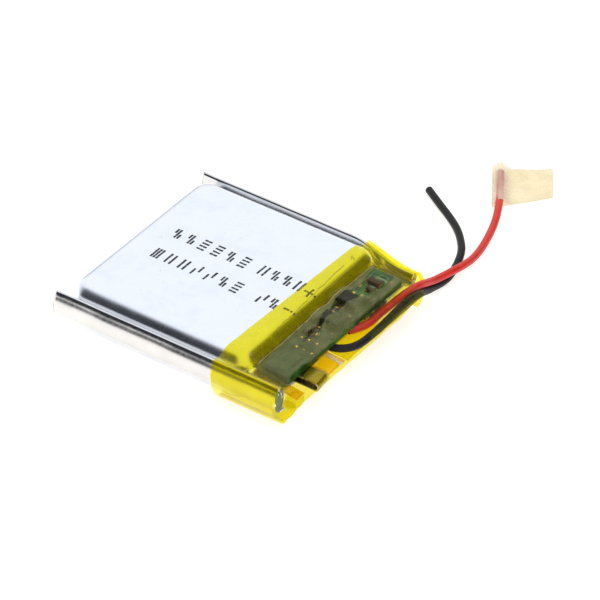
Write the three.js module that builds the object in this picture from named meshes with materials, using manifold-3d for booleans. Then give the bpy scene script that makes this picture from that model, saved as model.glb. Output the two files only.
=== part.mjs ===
// Single-cell lithium polymer pouch battery with a protection board and two flying leads.
// Units are millimetres, +Z is up and the pack lies on its flat underside.
// +X runs along the pack from the folded end of the pouch to the board end.
// The drawing below is made with X = 0 at the free left end of the side seals, and the
// finished group is moved by X_MID so that the origin is under the middle of the pack.

import * as THREE from 'three';
import { mergeVertices } from 'three/addons/utils/BufferGeometryUtils.js';
import Module from 'manifold-3d';

const wasm = await Module();
wasm.setup();

// ---------------------------------------------------------------- driving dimensions
const BODY_X0 = 0.65;       // folded end of the drawn cup
const BODY_X1 = 24.0;       // end wall above the terrace
const BODY_HALF_W = 12.4;   // half width of the cup
const BODY_Z0 = 0.12;       // underside of the lower cup
const BODY_Z1 = 5.6;        // top of the upper cup
const SEAM_Z = 2.05;        // plane where the two films are sealed
const CORNER_R = 2.3;       // corner radius in plan
const SHOULDER_R = 2.1;     // radius of the upper edge
const FOOT_R = 1.1;         // radius of the lower edge
const WALL = 0.12;          // laminate thickness

const SEAL_X0 = 0.0;        // free left end of the folded side seals
const SEAL_X1 = 28.75;      // right end of the front side seal
const SEAL_BACK_X1 = 27.6;  // right end of the back side seal
const TERRACE_X1 = 26.9;    // end of the sealed terrace
const RIM_Y = 13.0;         // half distance between the two folded rims
const RIM_Z = 5.05;         // height of the folded rim

const TAB_T = 0.1;
const TAB_NEG_Y = -7.4, TAB_POS_Y = 6.5;
const TAB_W = 2.4;
const SEALANT_W = 4.2;

const BOARD_X0 = 23.95 + 0.25, BOARD_X1 = 27.85;
const BOARD_Y0 = -10.1, BOARD_Y1 = 10.4;
const BOARD_Z0 = 3.42, BOARD_Z1 = 4.2;

const LEAD_D = 0.86;        // outside diameter of a lead
const CORE_D = 0.4;         // tinned strands

const TAPE_T = 0.06;
const TAPE_X0 = 20.45, TAPE_X1 = 28.9, TAPE_TOP_X1 = 23.4;

const FLAG_L = 7.1, FLAG_W = 7.0, FLAG_T = 0.14;

const X_MID = 15.25;       // middle of the pack, leads left out

// ---------------------------------------------------------------- helpers
function bare(geometry) {
  const g = geometry.index ? geometry.toNonIndexed() : geometry.clone();
  for (const name of Object.keys(g.attributes)) if (name !== 'position') g.deleteAttribute(name);
  const p = g.attributes.position;
  for (let i = 0; i < p.count; i++) {
    p.setXYZ(i, Math.round(p.getX(i) * 1e4) / 1e4, Math.round(p.getY(i) * 1e4) / 1e4, Math.round(p.getZ(i) * 1e4) / 1e4);
  }
  return mergeVertices(g, 1e-3);
}

function solid(geometry) {
  const g = bare(geometry);
  return new wasm.Manifold(new wasm.Mesh({
    numProp: 3,
    vertProperties: new Float32Array(g.attributes.position.array),
    triVerts: new Uint32Array(g.index.array),
  }));
}

function toGeometry(manifold) {
  const m = manifold.getMesh();
  const g = new THREE.BufferGeometry();
  g.setAttribute('position', new THREE.BufferAttribute(new Float32Array(m.vertProperties), 3));
  g.setIndex(new THREE.BufferAttribute(new Uint32Array(m.triVerts), 1));
  return g;
}

// Outline in (y, z), extruded along X.
function prismX(yz, x0, x1, holes = []) {
  const shape = new THREE.Shape(yz.map(([y, z]) => new THREE.Vector2(y, z)));
  for (const h of holes) shape.holes.push(new THREE.Path(h.map(([y, z]) => new THREE.Vector2(y, z))));
  const g = new THREE.ExtrudeGeometry(shape, { depth: x1 - x0, bevelEnabled: false });
  const m = new THREE.Matrix4().makeBasis(new THREE.Vector3(0, 1, 0), new THREE.Vector3(0, 0, 1), new THREE.Vector3(1, 0, 0));
  g.applyMatrix4(m);
  g.translate(x0, 0, 0);
  return g;
}

// Outline in (x, z), extruded along Y.
function prismY(xz, y0, y1) {
  const shape = new THREE.Shape(xz.map(([x, z]) => new THREE.Vector2(x, z)));
  const g = new THREE.ExtrudeGeometry(shape, { depth: y1 - y0, bevelEnabled: false });
  const m = new THREE.Matrix4().makeBasis(new THREE.Vector3(1, 0, 0), new THREE.Vector3(0, 0, 1), new THREE.Vector3(0, -1, 0));
  g.applyMatrix4(m);
  g.translate(0, y1, 0);
  return g;
}

// Outline in (x, y), extruded along Z.
function prismZ(xy, z0, z1) {
  const shape = new THREE.Shape(xy.map(([x, y]) => new THREE.Vector2(x, y)));
  const g = new THREE.ExtrudeGeometry(shape, { depth: z1 - z0, bevelEnabled: false });
  g.translate(0, 0, z0);
  return g;
}

function block(x0, x1, y0, y1, z0, z1) {
  const g = new THREE.BoxGeometry(x1 - x0, y1 - y0, z1 - z0);
  g.translate((x0 + x1) / 2, (y0 + y1) / 2, (z0 + z1) / 2);
  return g;
}

// Closed outline of a bent strip: the polyline offset by a and by b along its right-hand normal.
function strip(line, a, b) {
  const n = line.length;
  const off = (d) => line.map((p, i) => {
    const q = line[Math.max(i - 1, 0)], r = line[Math.min(i + 1, n - 1)];
    let d1 = [p[0] - q[0], p[1] - q[1]], d2 = [r[0] - p[0], r[1] - p[1]];
    if (i === 0) d1 = d2;
    if (i === n - 1) d2 = d1;
    const l1 = Math.hypot(...d1), l2 = Math.hypot(...d2);
    const n1 = [d1[1] / l1, -d1[0] / l1], n2 = [d2[1] / l2, -d2[0] / l2];
    let m = [n1[0] + n2[0], n1[1] + n2[1]];
    const ml = Math.hypot(...m);
    m = [m[0] / ml, m[1] / ml];
    const k = Math.min(1 / Math.max(m[0] * n1[0] + m[1] * n1[1], 0.5), 2);
    return [p[0] + m[0] * d * k, p[1] + m[1] * d * k];
  });
  return [...off(a), ...off(b).reverse()];
}

function arc(cx, cy, r, a0, a1, n) {
  const pts = [];
  for (let i = 0; i <= n; i++) {
    const a = THREE.MathUtils.degToRad(a0 + (a1 - a0) * i / n);
    pts.push([cx + r * Math.cos(a), cy + r * Math.sin(a)]);
  }
  return pts;
}

// Rounded rectangle in plan.
function plan(x0, x1, hw, r, n = 5) {
  return [
    ...arc(x1 - r, -hw + r, r, -90, 0, n), ...arc(x1 - r, hw - r, r, 0, 90, n),
    ...arc(x0 + r, hw - r, r, 90, 180, n), ...arc(x0 + r, -hw + r, r, 180, 270, n),
  ];
}

// Closed body through a stack of equal-count loops, capped by flat fans.
function loft(loops) {
  const n = loops[0].length, verts = [], idx = [];
  for (const l of loops) for (const p of l) verts.push(...p);
  for (let k = 0; k + 1 < loops.length; k++) {
    for (let i = 0; i < n; i++) {
      const a = k * n + i, b = k * n + (i + 1) % n, c = a + n, d = b + n;
      idx.push(a, b, d, a, d, c);
    }
  }
  for (const [k, flip] of [[0, true], [loops.length - 1, false]]) {
    const c = verts.length / 3, l = loops[k];
    verts.push(l.reduce((s, p) => s + p[0], 0) / n, l.reduce((s, p) => s + p[1], 0) / n, l[0][2]);
    for (let i = 0; i < n; i++) {
      const a = k * n + i, b = k * n + (i + 1) % n;
      if (flip) idx.push(c, b, a); else idx.push(c, a, b);
    }
  }
  const g = new THREE.BufferGeometry();
  g.setAttribute('position', new THREE.BufferAttribute(new Float32Array(verts), 3));
  g.setIndex(idx);
  return g;
}

// Drawn cup: straight wall from zFlat, rounded edge of radius r up (dir 1) or down (dir -1) to zEnd.
function cup(zFlat, zEnd, r, inset) {
  const dir = Math.sign(zEnd - zFlat);
  const rr = r - inset, end = zEnd - dir * inset;
  const loops = [];
  const add = (z, d) => loops.push(
    plan(BODY_X0 + inset + d, BODY_X1 - inset - d, BODY_HALF_W - inset - d, Math.max(CORNER_R - inset - d * 0.8, 0.4))
      .map(([x, y]) => [x, y, z]));
  add(zFlat, 0);
  const steps = 5;
  for (let i = 0; i <= steps; i++) {
    const a = (Math.PI / 2) * i / steps;
    add(end - dir * rr * (1 - Math.sin(a)), rr * (1 - Math.cos(a)));
  }
  if (dir < 0) loops.reverse();
  return loft(loops);
}

function mirrorY(line) { return line.map(([y, z]) => [-y, z]); }

// Smooth tube: a regular polygon carried along a curve.
function tube(points, diameter, sides, steps) {
  const curve = new THREE.CatmullRomCurve3(points.map((p) => new THREE.Vector3(...p)), false, 'centripetal');
  const shape = new THREE.Shape();
  for (let i = 0; i < sides; i++) {
    const a = 2 * Math.PI * i / sides;
    const x = diameter / 2 * Math.cos(a), y = diameter / 2 * Math.sin(a);
    if (i === 0) shape.moveTo(x, y); else shape.lineTo(x, y);
  }
  shape.closePath();
  return new THREE.ExtrudeGeometry(shape, { steps, extrudePath: curve, bevelEnabled: false });
}

const pack = new THREE.Group();
pack.position.x = -X_MID;

function add(name, geometry, color, roughness, metalness) {
  const mesh = new THREE.Mesh(geometry, new THREE.MeshStandardMaterial({ color, roughness, metalness }));
  mesh.name = name;
  pack.add(mesh);
  return mesh;
}

// ---------------------------------------------------------------- pouch films
// Section of a folded side seal: out from the cup wall, up in a shallow C, over the rim and
// back down on the inside. The lower film is the outer layer until the rim.
const sealLine = [
  [-BODY_HALF_W + 0.06, SEAM_Z], [-12.8, SEAM_Z], [-13.2, 2.22], [-13.48, 2.7], [-13.6, 3.3],
  [-13.5, 3.9], [-13.28, 4.45], [-RIM_Y - 0.06, RIM_Z - 0.13], [-12.89, RIM_Z - 0.17], [-12.8, 4.6], [-12.76, 3.7],
];
// The back seal is pressed down where the board sits.
const lowSealLine = [
  [-BODY_HALF_W + 0.06, SEAM_Z], [-12.7, SEAM_Z], [-13.1, 2.2], [-13.3, 2.55], [-13.26, 2.95],
  [-13.02, 3.12], [-12.8, 3.0], [-12.74, 2.7],
];
const FILM_IN = 0.01, FILM_OUT = 0.12;

const terraceUp = block(BODY_X1 - 0.3, TERRACE_X1, -12.5, 12.5, SEAM_Z + FILM_IN, SEAM_Z + 0.13);
const terraceDown = block(BODY_X1 - 0.3, TERRACE_X1, -12.5, 12.5, SEAM_Z - 0.13, SEAM_Z - FILM_IN);

let upper = solid(cup(SEAM_Z + FILM_IN, BODY_Z1, SHOULDER_R, 0))
  .add(solid(terraceUp))
  .add(solid(prismX(strip(sealLine, FILM_IN, FILM_OUT), SEAL_X0, SEAL_X1)))
  .add(solid(prismX(strip(mirrorY(sealLine), -FILM_OUT, -FILM_IN), SEAL_X0, 23.6)))
  .add(solid(prismX(strip(mirrorY(lowSealLine), -FILM_OUT, -FILM_IN), 23.5, SEAL_BACK_X1)));
let lower = solid(cup(SEAM_Z - FILM_IN, BODY_Z0, FOOT_R, 0))
  .add(solid(terraceDown))
  .add(solid(prismX(strip(sealLine, -FILM_OUT, -FILM_IN), SEAL_X0, SEAL_X1)))
  .add(solid(prismX(strip(mirrorY(sealLine), FILM_IN, FILM_OUT), SEAL_X0, 23.6)))
  .add(solid(prismX(strip(mirrorY(lowSealLine), FILM_IN, FILM_OUT), 23.5, SEAL_BACK_X1)));
// The terrace rises and dips over the tab sealants.
for (const y of [TAB_NEG_Y, TAB_POS_Y]) {
  upper = upper.add(solid(block(BODY_X1 - 0.2, TERRACE_X1, y - SEALANT_W / 2 - 0.12, y + SEALANT_W / 2 + 0.12, SEAM_Z + 0.05, SEAM_Z + 0.27)));
  lower = lower.add(solid(block(BODY_X1 - 0.2, TERRACE_X1, y - SEALANT_W / 2 - 0.12, y + SEALANT_W / 2 + 0.12, SEAM_Z - 0.27, SEAM_Z - 0.05)));
}
upper = upper.subtract(solid(cup(SEAM_Z - 0.2, BODY_Z1, SHOULDER_R, WALL)));
lower = lower.subtract(solid(cup(SEAM_Z + 0.2, BODY_Z0, FOOT_R, WALL)));
for (const y of [TAB_NEG_Y, TAB_POS_Y]) {
  const slot = block(BODY_X1 - 0.6, TERRACE_X1 + 0.2, y - SEALANT_W / 2 - 0.02, y + SEALANT_W / 2 + 0.02, SEAM_Z - 0.15, SEAM_Z + 0.15);
  upper = upper.subtract(solid(slot));
  lower = lower.subtract(solid(slot));
}
add('pouch_upper_film', toGeometry(upper), 0xdfe3ea, 0.28, 0.9);
add('pouch_lower_film', toGeometry(lower), 0xd5d8dd, 0.3, 0.9);

// ---------------------------------------------------------------- winding
// Flat wound electrodes: each sheet is a flat spiral in (y, z), drawn along X.
const WIND_X0 = 2.25, WIND_X1 = 22.45, WIND_Z = (BODY_Z0 + BODY_Z1) / 2;
const WIND_R = 2.46, WIND_HALF = 11.55, PITCH = 0.62, TURNS = 2.5;
function windingSheet(centre, half) {
  const flat = WIND_HALF - WIND_R;
  const inner = [], outer = [];
  const seg = 6;
  const r0 = WIND_R - PITCH * TURNS - PITCH + 0.02;
  const point = (t, r) => {             // t counts half turns
    const k = Math.floor(t + 1e-9), f = t - k;
    const side = k % 2 === 0 ? 1 : -1;
    const a = Math.PI * f - Math.PI / 2;
    return side > 0 ? [flat + r * Math.cos(a), WIND_Z + r * Math.sin(a)] : [-flat - r * Math.cos(a), WIND_Z - r * Math.sin(a)];
  };
  const n = Math.floor(TURNS * 2);
  for (let k = 0; k < n; k++) {
    for (let i = 0; i <= seg; i++) {
      const t = k + i / seg * 0.999999;
      const r = r0 + PITCH * (k + i / seg) / 2 + centre;
      inner.push(point(t, r - half));
      outer.push(point(t, r + half));
    }
  }
  return prismX([...outer, ...inner.reverse()], WIND_X0, WIND_X1);
}
add('anode_sheet', windingSheet(0.1, 0.1), 0x8a5a3a, 0.6, 0.4);
add('separator_inner', windingSheet(0.255, 0.025), 0xf2f2ee, 0.7, 0);
add('cathode_sheet', windingSheet(0.41, 0.1), 0x9aa0a6, 0.5, 0.6);
add('separator_outer', windingSheet(0.565, 0.025), 0xf2f2ee, 0.7, 0);
// Tape that closes the winding's last turn on its underside.
add('winding_tape', block(6.0, 17.0, -4.5, 4.5, BODY_Z0 + WALL + 0.02, BODY_Z0 + WALL + 0.07), 0x3fa35a, 0.5, 0);

// ---------------------------------------------------------------- tabs and sealants
function tab(y, foldX, endX) {
  const r = 0.55, z0 = SEAM_Z, z1 = SEAM_Z + 2 * r;
  const line = [[22.55, z0], [foldX, z0], ...arc(foldX, z0 + r, r, -90, 90, 8).slice(1), [endX, z1]];
  return prismY(strip(line, -TAB_T / 2, TAB_T / 2), y - TAB_W / 2, y + TAB_W / 2);
}
add('negative_tab', tab(TAB_NEG_Y, 29.85, 25.0), 0xb9b6a8, 0.3, 1);
add('positive_tab', tab(TAB_POS_Y, 27.2, 25.0), 0xd3d6da, 0.35, 1);
function sealant(y) {
  return toGeometry(solid(block(23.6, TERRACE_X1 + 0.25, y - SEALANT_W / 2, y + SEALANT_W / 2, SEAM_Z - 0.13, SEAM_Z + 0.13))
    .subtract(solid(block(23.0, TERRACE_X1 + 1, y - TAB_W / 2 - 0.02, y + TAB_W / 2 + 0.02, SEAM_Z - TAB_T / 2 - 0.02, SEAM_Z + TAB_T / 2 + 0.02))));
}
add('negative_tab_sealant', sealant(TAB_NEG_Y), 0xe8e4d0, 0.5, 0);
add('positive_tab_sealant', sealant(TAB_POS_Y), 0xe8e4d0, 0.5, 0);

// Orange insulating tape over the terrace, cut out round the two folded tabs.
let insulation = solid(block(24.3, 29.85, -10.3, 10.3, 2.36, 2.42));
insulation = insulation
  .subtract(solid(block(27.05, 31, TAB_NEG_Y - TAB_W / 2 - 0.1, TAB_NEG_Y + TAB_W / 2 + 0.1, 2, 3)))
  .subtract(solid(block(26.95, 28.1, TAB_POS_Y - TAB_W / 2 - 0.1, TAB_POS_Y + TAB_W / 2 + 0.1, 2, 3)))
  .subtract(solid(block(27.9, 31, 5.0, 11, 2, 3)));
add('terrace_insulation', toGeometry(insulation), 0xf2a21c, 0.35, 0);

// ---------------------------------------------------------------- protection board
add('pcm_board', prismZ([
  [BOARD_X0, BOARD_Y0], [BOARD_X1, BOARD_Y0], [BOARD_X1, BOARD_Y1], [BOARD_X0, BOARD_Y1]], BOARD_Z0, BOARD_Z1), 0x1d4f22, 0.4, 0);
// Nickel plates soldered under the board, one over each tab.
add('negative_weld_plate', block(24.7, 27.3, TAB_NEG_Y - 1.3, TAB_NEG_Y + 1.3, 3.24, 3.40), 0xc9c8c0, 0.3, 1);
add('positive_weld_plate', block(24.7, 27.3, TAB_POS_Y - 1.3, TAB_POS_Y + 1.3, 3.24, 3.40), 0xc9c8c0, 0.3, 1);
// Foam pads between the terrace and the board.
add('board_foam_pad', block(24.5, 27.3, -6.05, -4.3, 2.46, 3.38), 0x2b2b2b, 0.9, 0);

// Chip: a moulded body with gull-wing leads on its two Y sides.
function chip(cx, cy, lx, ly, z0, h, pins, pitch, reach) {
  const zb = z0 + 0.12;
  const c = 0.12;
  let body = solid(prismY([
    [cx - lx / 2, zb + 0.4 * h], [cx - lx / 2 + c, zb], [cx + lx / 2 - c, zb], [cx + lx / 2, zb + 0.4 * h],
    [cx + lx / 2 - c, zb + h], [cx - lx / 2 + c, zb + h]], cy - ly / 2, cy + ly / 2));
  for (let i = 0; i < pins; i++) {
    const x = cx + (i - (pins - 1) / 2) * pitch;
    for (const s of [-1, 1]) {
      const yz = [
        [s * (ly / 2 - 0.1), zb + 0.42 * h], [s * (ly / 2 + reach * 0.35), zb + 0.42 * h], [s * (ly / 2 + reach * 0.55), z0 + 0.13],
        [s * (ly / 2 + reach), z0 + 0.13], [s * (ly / 2 + reach), z0 + 0.02], [s * (ly / 2 + reach * 0.4), z0 + 0.02],
        [s * (ly / 2 + reach * 0.2), zb + 0.28 * h], [s * (ly / 2 - 0.1), zb + 0.28 * h],
      ].map(([y, z]) => [cy + y, z]);
      body = body.add(solid(prismX(s > 0 ? yz.slice().reverse() : yz, x - 0.19, x + 0.19)));
    }
  }
  return toGeometry(body);
}
add('protection_ic', chip(25.75, 4.0, 2.9, 1.6, BOARD_Z1, 0.5, 3, 0.95, 0.55), 0x17140f, 0.5, 0);
add('dual_mosfet', chip(26.05, 0.15, 2.9, 1.6, BOARD_Z1, 0.5, 3, 0.95, 0.55), 0x17140f, 0.5, 0);

// Chip resistor or capacitor with raised end caps.
function chipPart(cx, cy, l, w, h, along) {
  const z = BOARD_Z1 + 0.02;
  const dx = along === 'x' ? l / 2 : w / 2, dy = along === 'x' ? w / 2 : l / 2, e = 0.28, s = 0.03;
  let b = solid(block(cx - dx, cx + dx, cy - dy, cy + dy, z, z + h));
  const mid = along === 'x'
    ? [block(cx - dx + e, cx + dx - e, cy - dy - 1, cy - dy + s, z - 1, z + h + 1), block(cx - dx + e, cx + dx - e, cy + dy - s, cy + dy + 1, z - 1, z + h + 1), block(cx - dx + e, cx + dx - e, cy - dy - 1, cy + dy + 1, z + h - s, z + h + 1)]
    : [block(cx - dx - 1, cx - dx + s, cy - dy + e, cy + dy - e, z - 1, z + h + 1), block(cx + dx - s, cx + dx + 1, cy - dy + e, cy + dy - e, z - 1, z + h + 1), block(cx - dx - 1, cx + dx + 1, cy - dy + e, cy + dy - e, z + h - s, z + h + 1)];
  for (const m of mid) b = b.subtract(solid(m));
  return toGeometry(b);
}
add('filter_resistor', chipPart(25.95, 8.05, 1.6, 0.8, 0.5, 'x'), 0x33261a, 0.45, 0.2);
add('filter_capacitor', chipPart(26.3, 6.72, 1.0, 0.5, 0.45, 'x'), 0x5a4632, 0.5, 0.1);
add('sense_resistor', chipPart(24.95, -2.75, 1.0, 0.5, 0.35, 'y'), 0x202020, 0.45, 0.2);

// ---------------------------------------------------------------- leads
// Each lead leaves from under the board's outer long edge, follows the edge towards the back
// corner, comes down to the surface and lies on it.
const RED_ROUTE = [
  [27.30, 1.20, 2.93], [27.62, 1.72, 2.93], [27.92, 2.30, 2.93], [28.18, 3.00, 2.93], [28.33, 3.85, 2.93], [28.32, 5.60, 2.92],
  [28.40, 7.85, 2.92], [28.52, 10.00, 2.92], [28.66, 11.40, 2.86], [28.74, 12.60, 2.60], [28.74, 14.10, 2.02],
  [28.80, 15.40, 1.62], [28.98, 16.70, 1.44], [29.24, 18.00, 1.38], [29.42, 19.50, 1.20], [29.32, 21.30, 0.84], [28.92, 23.60, 0.56],
  [28.34, 25.85, 0.48], [27.68, 27.95, 0.50], [26.86, 29.95, 0.56], [25.60, 32.35, 0.62], [24.02, 34.90, 0.62], [22.86, 36.70, 0.62],
];
const BLACK_ROUTE = [
  [26.95, -2.12, 2.93], [27.50, -2.06, 2.93], [28.02, -1.90, 2.93], [28.52, -1.60, 2.93], [29.00, -1.12, 2.93], [29.38, -0.45, 2.93],
  [29.60, 0.45, 2.93], [29.68, 1.70, 2.93], [29.68, 3.20, 2.93], [29.62, 4.60, 2.93], [29.54, 6.00, 2.93], [29.46, 7.60, 2.93],
  [29.44, 9.20, 2.90], [29.38, 10.60, 2.62], [29.16, 12.00, 2.06], [28.90, 13.60, 1.30], [28.78, 15.20, 0.78], [28.80, 16.50, 0.52],
  [28.80, 17.70, 0.46], [28.50, 19.20, 0.46], [28.05, 20.70, 0.46], [27.30, 22.40, 0.46], [26.34, 23.74, 0.46], [24.90, 25.25, 0.46],
  [23.13, 26.57, 0.46], [20.60, 28.13, 0.46], [18.15, 29.66, 0.46],
];
add('red_lead', tube(RED_ROUTE, LEAD_D, 8, 30), 0xc9302a, 0.4, 0);
add('black_lead', tube(BLACK_ROUTE, LEAD_D, 8, 30), 0x2a2a2a, 0.4, 0);

// Bare tinned ends under the board, each run into a bead of solder.
function core(route, length) {
  const a = new THREE.Vector3(...route[0]), b = new THREE.Vector3(...route[1]);
  const d = a.clone().sub(b).normalize();
  const p = a.clone().addScaledVector(d, 0.04), q = a.clone().addScaledVector(d, length);
  return tube([p.toArray(), p.clone().lerp(q, 0.5).toArray(), q.toArray()], CORE_D, 8, 2);
}
add('red_lead_core', core(RED_ROUTE, 0.55), 0xc8b48a, 0.35, 1);
add('black_lead_core', core(BLACK_ROUTE, 0.55), 0xc8b48a, 0.35, 1);
function bead(route) {
  const a = new THREE.Vector3(...route[0]), b = new THREE.Vector3(...route[1]);
  const d = a.clone().sub(b).normalize();
  const c = a.clone().addScaledVector(d, 1.22);
  const profile = [];
  profile.push(new THREE.Vector2(0, 0));
  for (const [r, z] of [[0.22, 0.02], [0.42, 0.12], [0.55, 0.32], [0.6, 0.62], [0.6, 0.72], [0, 0.72]]) profile.push(new THREE.Vector2(r, z));
  const g = new THREE.LatheGeometry(profile, 12);
  g.applyMatrix4(new THREE.Matrix4().makeBasis(new THREE.Vector3(1, 0, 0), new THREE.Vector3(0, 0, 1), new THREE.Vector3(0, -1, 0)));
  g.translate(c.x, c.y, BOARD_Z0 - 0.02 - 0.72);
  return toGeometry(solid(g));
}
add('positive_solder', bead(RED_ROUTE), 0xb8bcc2, 0.3, 1);
add('negative_solder', bead(BLACK_ROUTE), 0xb8bcc2, 0.3, 1);

// ---------------------------------------------------------------- tapes
// Yellow tape round the board end. Half section of its outer face, front side, rim to floor.
const tapeSide = [
  [-12.95, RIM_Z + 0.22], [-13.22, RIM_Z + 0.12], [-13.56, 4.75], [-13.8, 4.2], [-13.88, 3.4], [-13.78, 2.6],
  [-13.5, 1.7], [-13.0, 0.75], [-12.5, 0.2], [-12.1, 0],
];
const top = [[-10.3, BODY_Z1 + 0.09], [-11.2, BODY_Z1 - 0.02]];
const ringLine = [...top, ...tapeSide];
const ringFull = [...ringLine, ...mirrorY(ringLine).reverse()];
function ring(x0, x1) {
  // Close the loop on itself with the hole offset inwards.
  const n = ringFull.length;
  const inner = ringFull.map((p, i) => {
    const q = ringFull[(i + n - 1) % n], r = ringFull[(i + 1) % n];
    const d = [r[0] - q[0], r[1] - q[1]], l = Math.hypot(...d);
    return [p[0] - d[1] / l * TAPE_T, p[1] + d[0] / l * TAPE_T];
  });
  return prismX(ringFull, x0, x1, [inner]);
}
const uLine = [...tapeSide.slice(1), ...mirrorY(tapeSide.slice(1)).reverse()];
function trough(x0, x1) {
  return prismX(strip(uLine, 0, -TAPE_T), x0, x1);
}
// The side wall stops short at the back corner, where the leads come out.
const tape = solid(ring(TAPE_X0, TAPE_TOP_X1)).add(solid(trough(TAPE_TOP_X1 - 0.2, TAPE_X1)))
  .subtract(solid(block(27.8, 30, 11.4, 15, 0.3, 8)));
add('wrap_tape', toGeometry(tape), 0xf0e020, 0.25, 0);

// Clear tape over the board, lifted over the parts on it.
const coverLine = [
  [-11.6, 3.2], [-10.6, 4.3], [-4.6, 4.32], [-3.7, 4.72], [-2.0, 4.74], [-1.4, 4.92], [5.6, 4.92], [6.3, 4.84], [8.9, 4.84], [9.4, 4.32], [10.7, 4.3], [11.6, 3.3],
];
add('board_cover_tape', prismX(strip(coverLine, -0.05, 0), 24.1, 28.0), 0x8f9a70, 0.3, 0);
// Clear tape that holds the leads down along the board's edge.
add('lead_cover_tape', prismY(strip([[28.1, 3.72], [28.9, 3.72], [29.75, 3.66], [30.2, 3.4], [30.45, 2.8], [30.5, 2.1]], -0.05, 0), 0.6, 9.6), 0x8f8f5a, 0.3, 0);

// ---------------------------------------------------------------- tape flag on the red lead
const flagDir = new THREE.Vector3(22.86 - 25.60, 36.70 - 32.35, 0).normalize();
const flagSide = new THREE.Vector3(flagDir.y, -flagDir.x, 0);
{
  const r = LEAD_D / 2 + 0.16, ri = LEAD_D / 2 + 0.03, zc = 0.62;
  const half = FLAG_T / 2, zf = r - zc > 0 ? 0.16 : 0.16;
  const outline = [];
  // Counter-clockwise seen with v to the right and z up: plate underside, tip, plate top, loop.
  outline.push([0.55, zf - half - zc], [FLAG_W - 0.6, 0.02 + half * 0 - zc + 0.02], [FLAG_W - 0.6, 0.02 + FLAG_T - zc + 0.02], [1.0, zf + half - zc]);
  const a0 = -12, a1 = 318;
  for (let i = 0; i <= 12; i++) {
    const a = THREE.MathUtils.degToRad(a0 + (a1 - a0) * i / 12);
    outline.push([r * Math.cos(a), r * Math.sin(a)]);
  }
  const hole = [];
  for (let i = 0; i < 10; i++) {
    const a = -2 * Math.PI * i / 10;
    hole.push([ri * Math.cos(a), ri * Math.sin(a)]);
  }
  const shape = new THREE.Shape(outline.map(([v, z]) => new THREE.Vector2(v, z)));
  shape.holes.push(new THREE.Path(hole.map(([v, z]) => new THREE.Vector2(v, z))));
  const g = new THREE.ExtrudeGeometry(shape, { depth: FLAG_L, bevelEnabled: false });
  // Shape x runs across the flag, shape y up and the extrusion back along the lead.
  g.applyMatrix4(new THREE.Matrix4().makeBasis(flagSide, new THREE.Vector3(0, 0, 1), flagDir.clone().negate()));
  g.translate(22.86 + flagDir.x * 0.9, 36.70 + flagDir.y * 0.9, zc);
  add('lead_end_flag', g, 0xf3ecc0, 0.35, 0);
}

export default pack;
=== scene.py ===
import math
import random

import bpy
import numpy as np
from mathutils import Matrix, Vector, noise


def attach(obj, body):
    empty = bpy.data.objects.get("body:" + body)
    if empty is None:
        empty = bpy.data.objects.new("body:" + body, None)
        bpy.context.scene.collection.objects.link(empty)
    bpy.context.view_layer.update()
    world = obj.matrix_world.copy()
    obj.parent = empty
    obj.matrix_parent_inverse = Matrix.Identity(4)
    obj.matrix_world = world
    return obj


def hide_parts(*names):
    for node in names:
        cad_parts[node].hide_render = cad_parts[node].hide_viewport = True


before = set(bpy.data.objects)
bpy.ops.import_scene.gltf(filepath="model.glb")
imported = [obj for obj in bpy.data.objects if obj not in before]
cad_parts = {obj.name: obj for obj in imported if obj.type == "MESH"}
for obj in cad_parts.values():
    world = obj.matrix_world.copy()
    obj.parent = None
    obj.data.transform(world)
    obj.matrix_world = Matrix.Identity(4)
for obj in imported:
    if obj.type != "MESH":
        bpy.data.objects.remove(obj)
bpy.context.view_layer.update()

# Lengths below are millimetres in the drawing frame, with x = 0 at the free left end of the
# folded side seals. P() turns them into metres in the row frame.
XM = 15.25


def P(p):
    return ((p[0] - XM) * 1e-3, p[1] * 1e-3, p[2] * 1e-3)


def nz(x, y, z, s):
    return noise.noise(Vector((x * s, y * s, z * s)))


def sm(a, b, t):
    t = np.clip((np.asarray(t, float) - a) / (b - a), 0.0, 1.0)
    return t * t * (3 - 2 * t)


# ------------------------------------------------------------------ camera
AZ, EL = math.radians(35.48), math.radians(37.25)
back = Vector((math.sin(AZ) * math.cos(EL), -math.cos(AZ) * math.cos(EL), math.sin(EL)))
right = Vector((math.cos(AZ), math.sin(AZ), 0))
up = back.cross(right)
aim = Vector(P((15.0, 0.0, 2.35))) + right * 5.689e-3 - up * 0.05e-3
cam_data = bpy.data.cameras.new("camera")
cam = bpy.data.objects.new("camera", cam_data)
bpy.context.scene.collection.objects.link(cam)
cam.location = aim + back * 0.5
cam.rotation_euler = (-back).to_track_quat("-Z", "Y").to_euler()
cam_data.sensor_width = 36
cam_data.lens = 284.9
cam_data.clip_start = 0.02
cam_data.clip_end = 20
bpy.context.scene.camera = cam
scene = bpy.context.scene
scene.view_settings.view_transform = "Standard"
scene.view_settings.look = "None"


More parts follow.
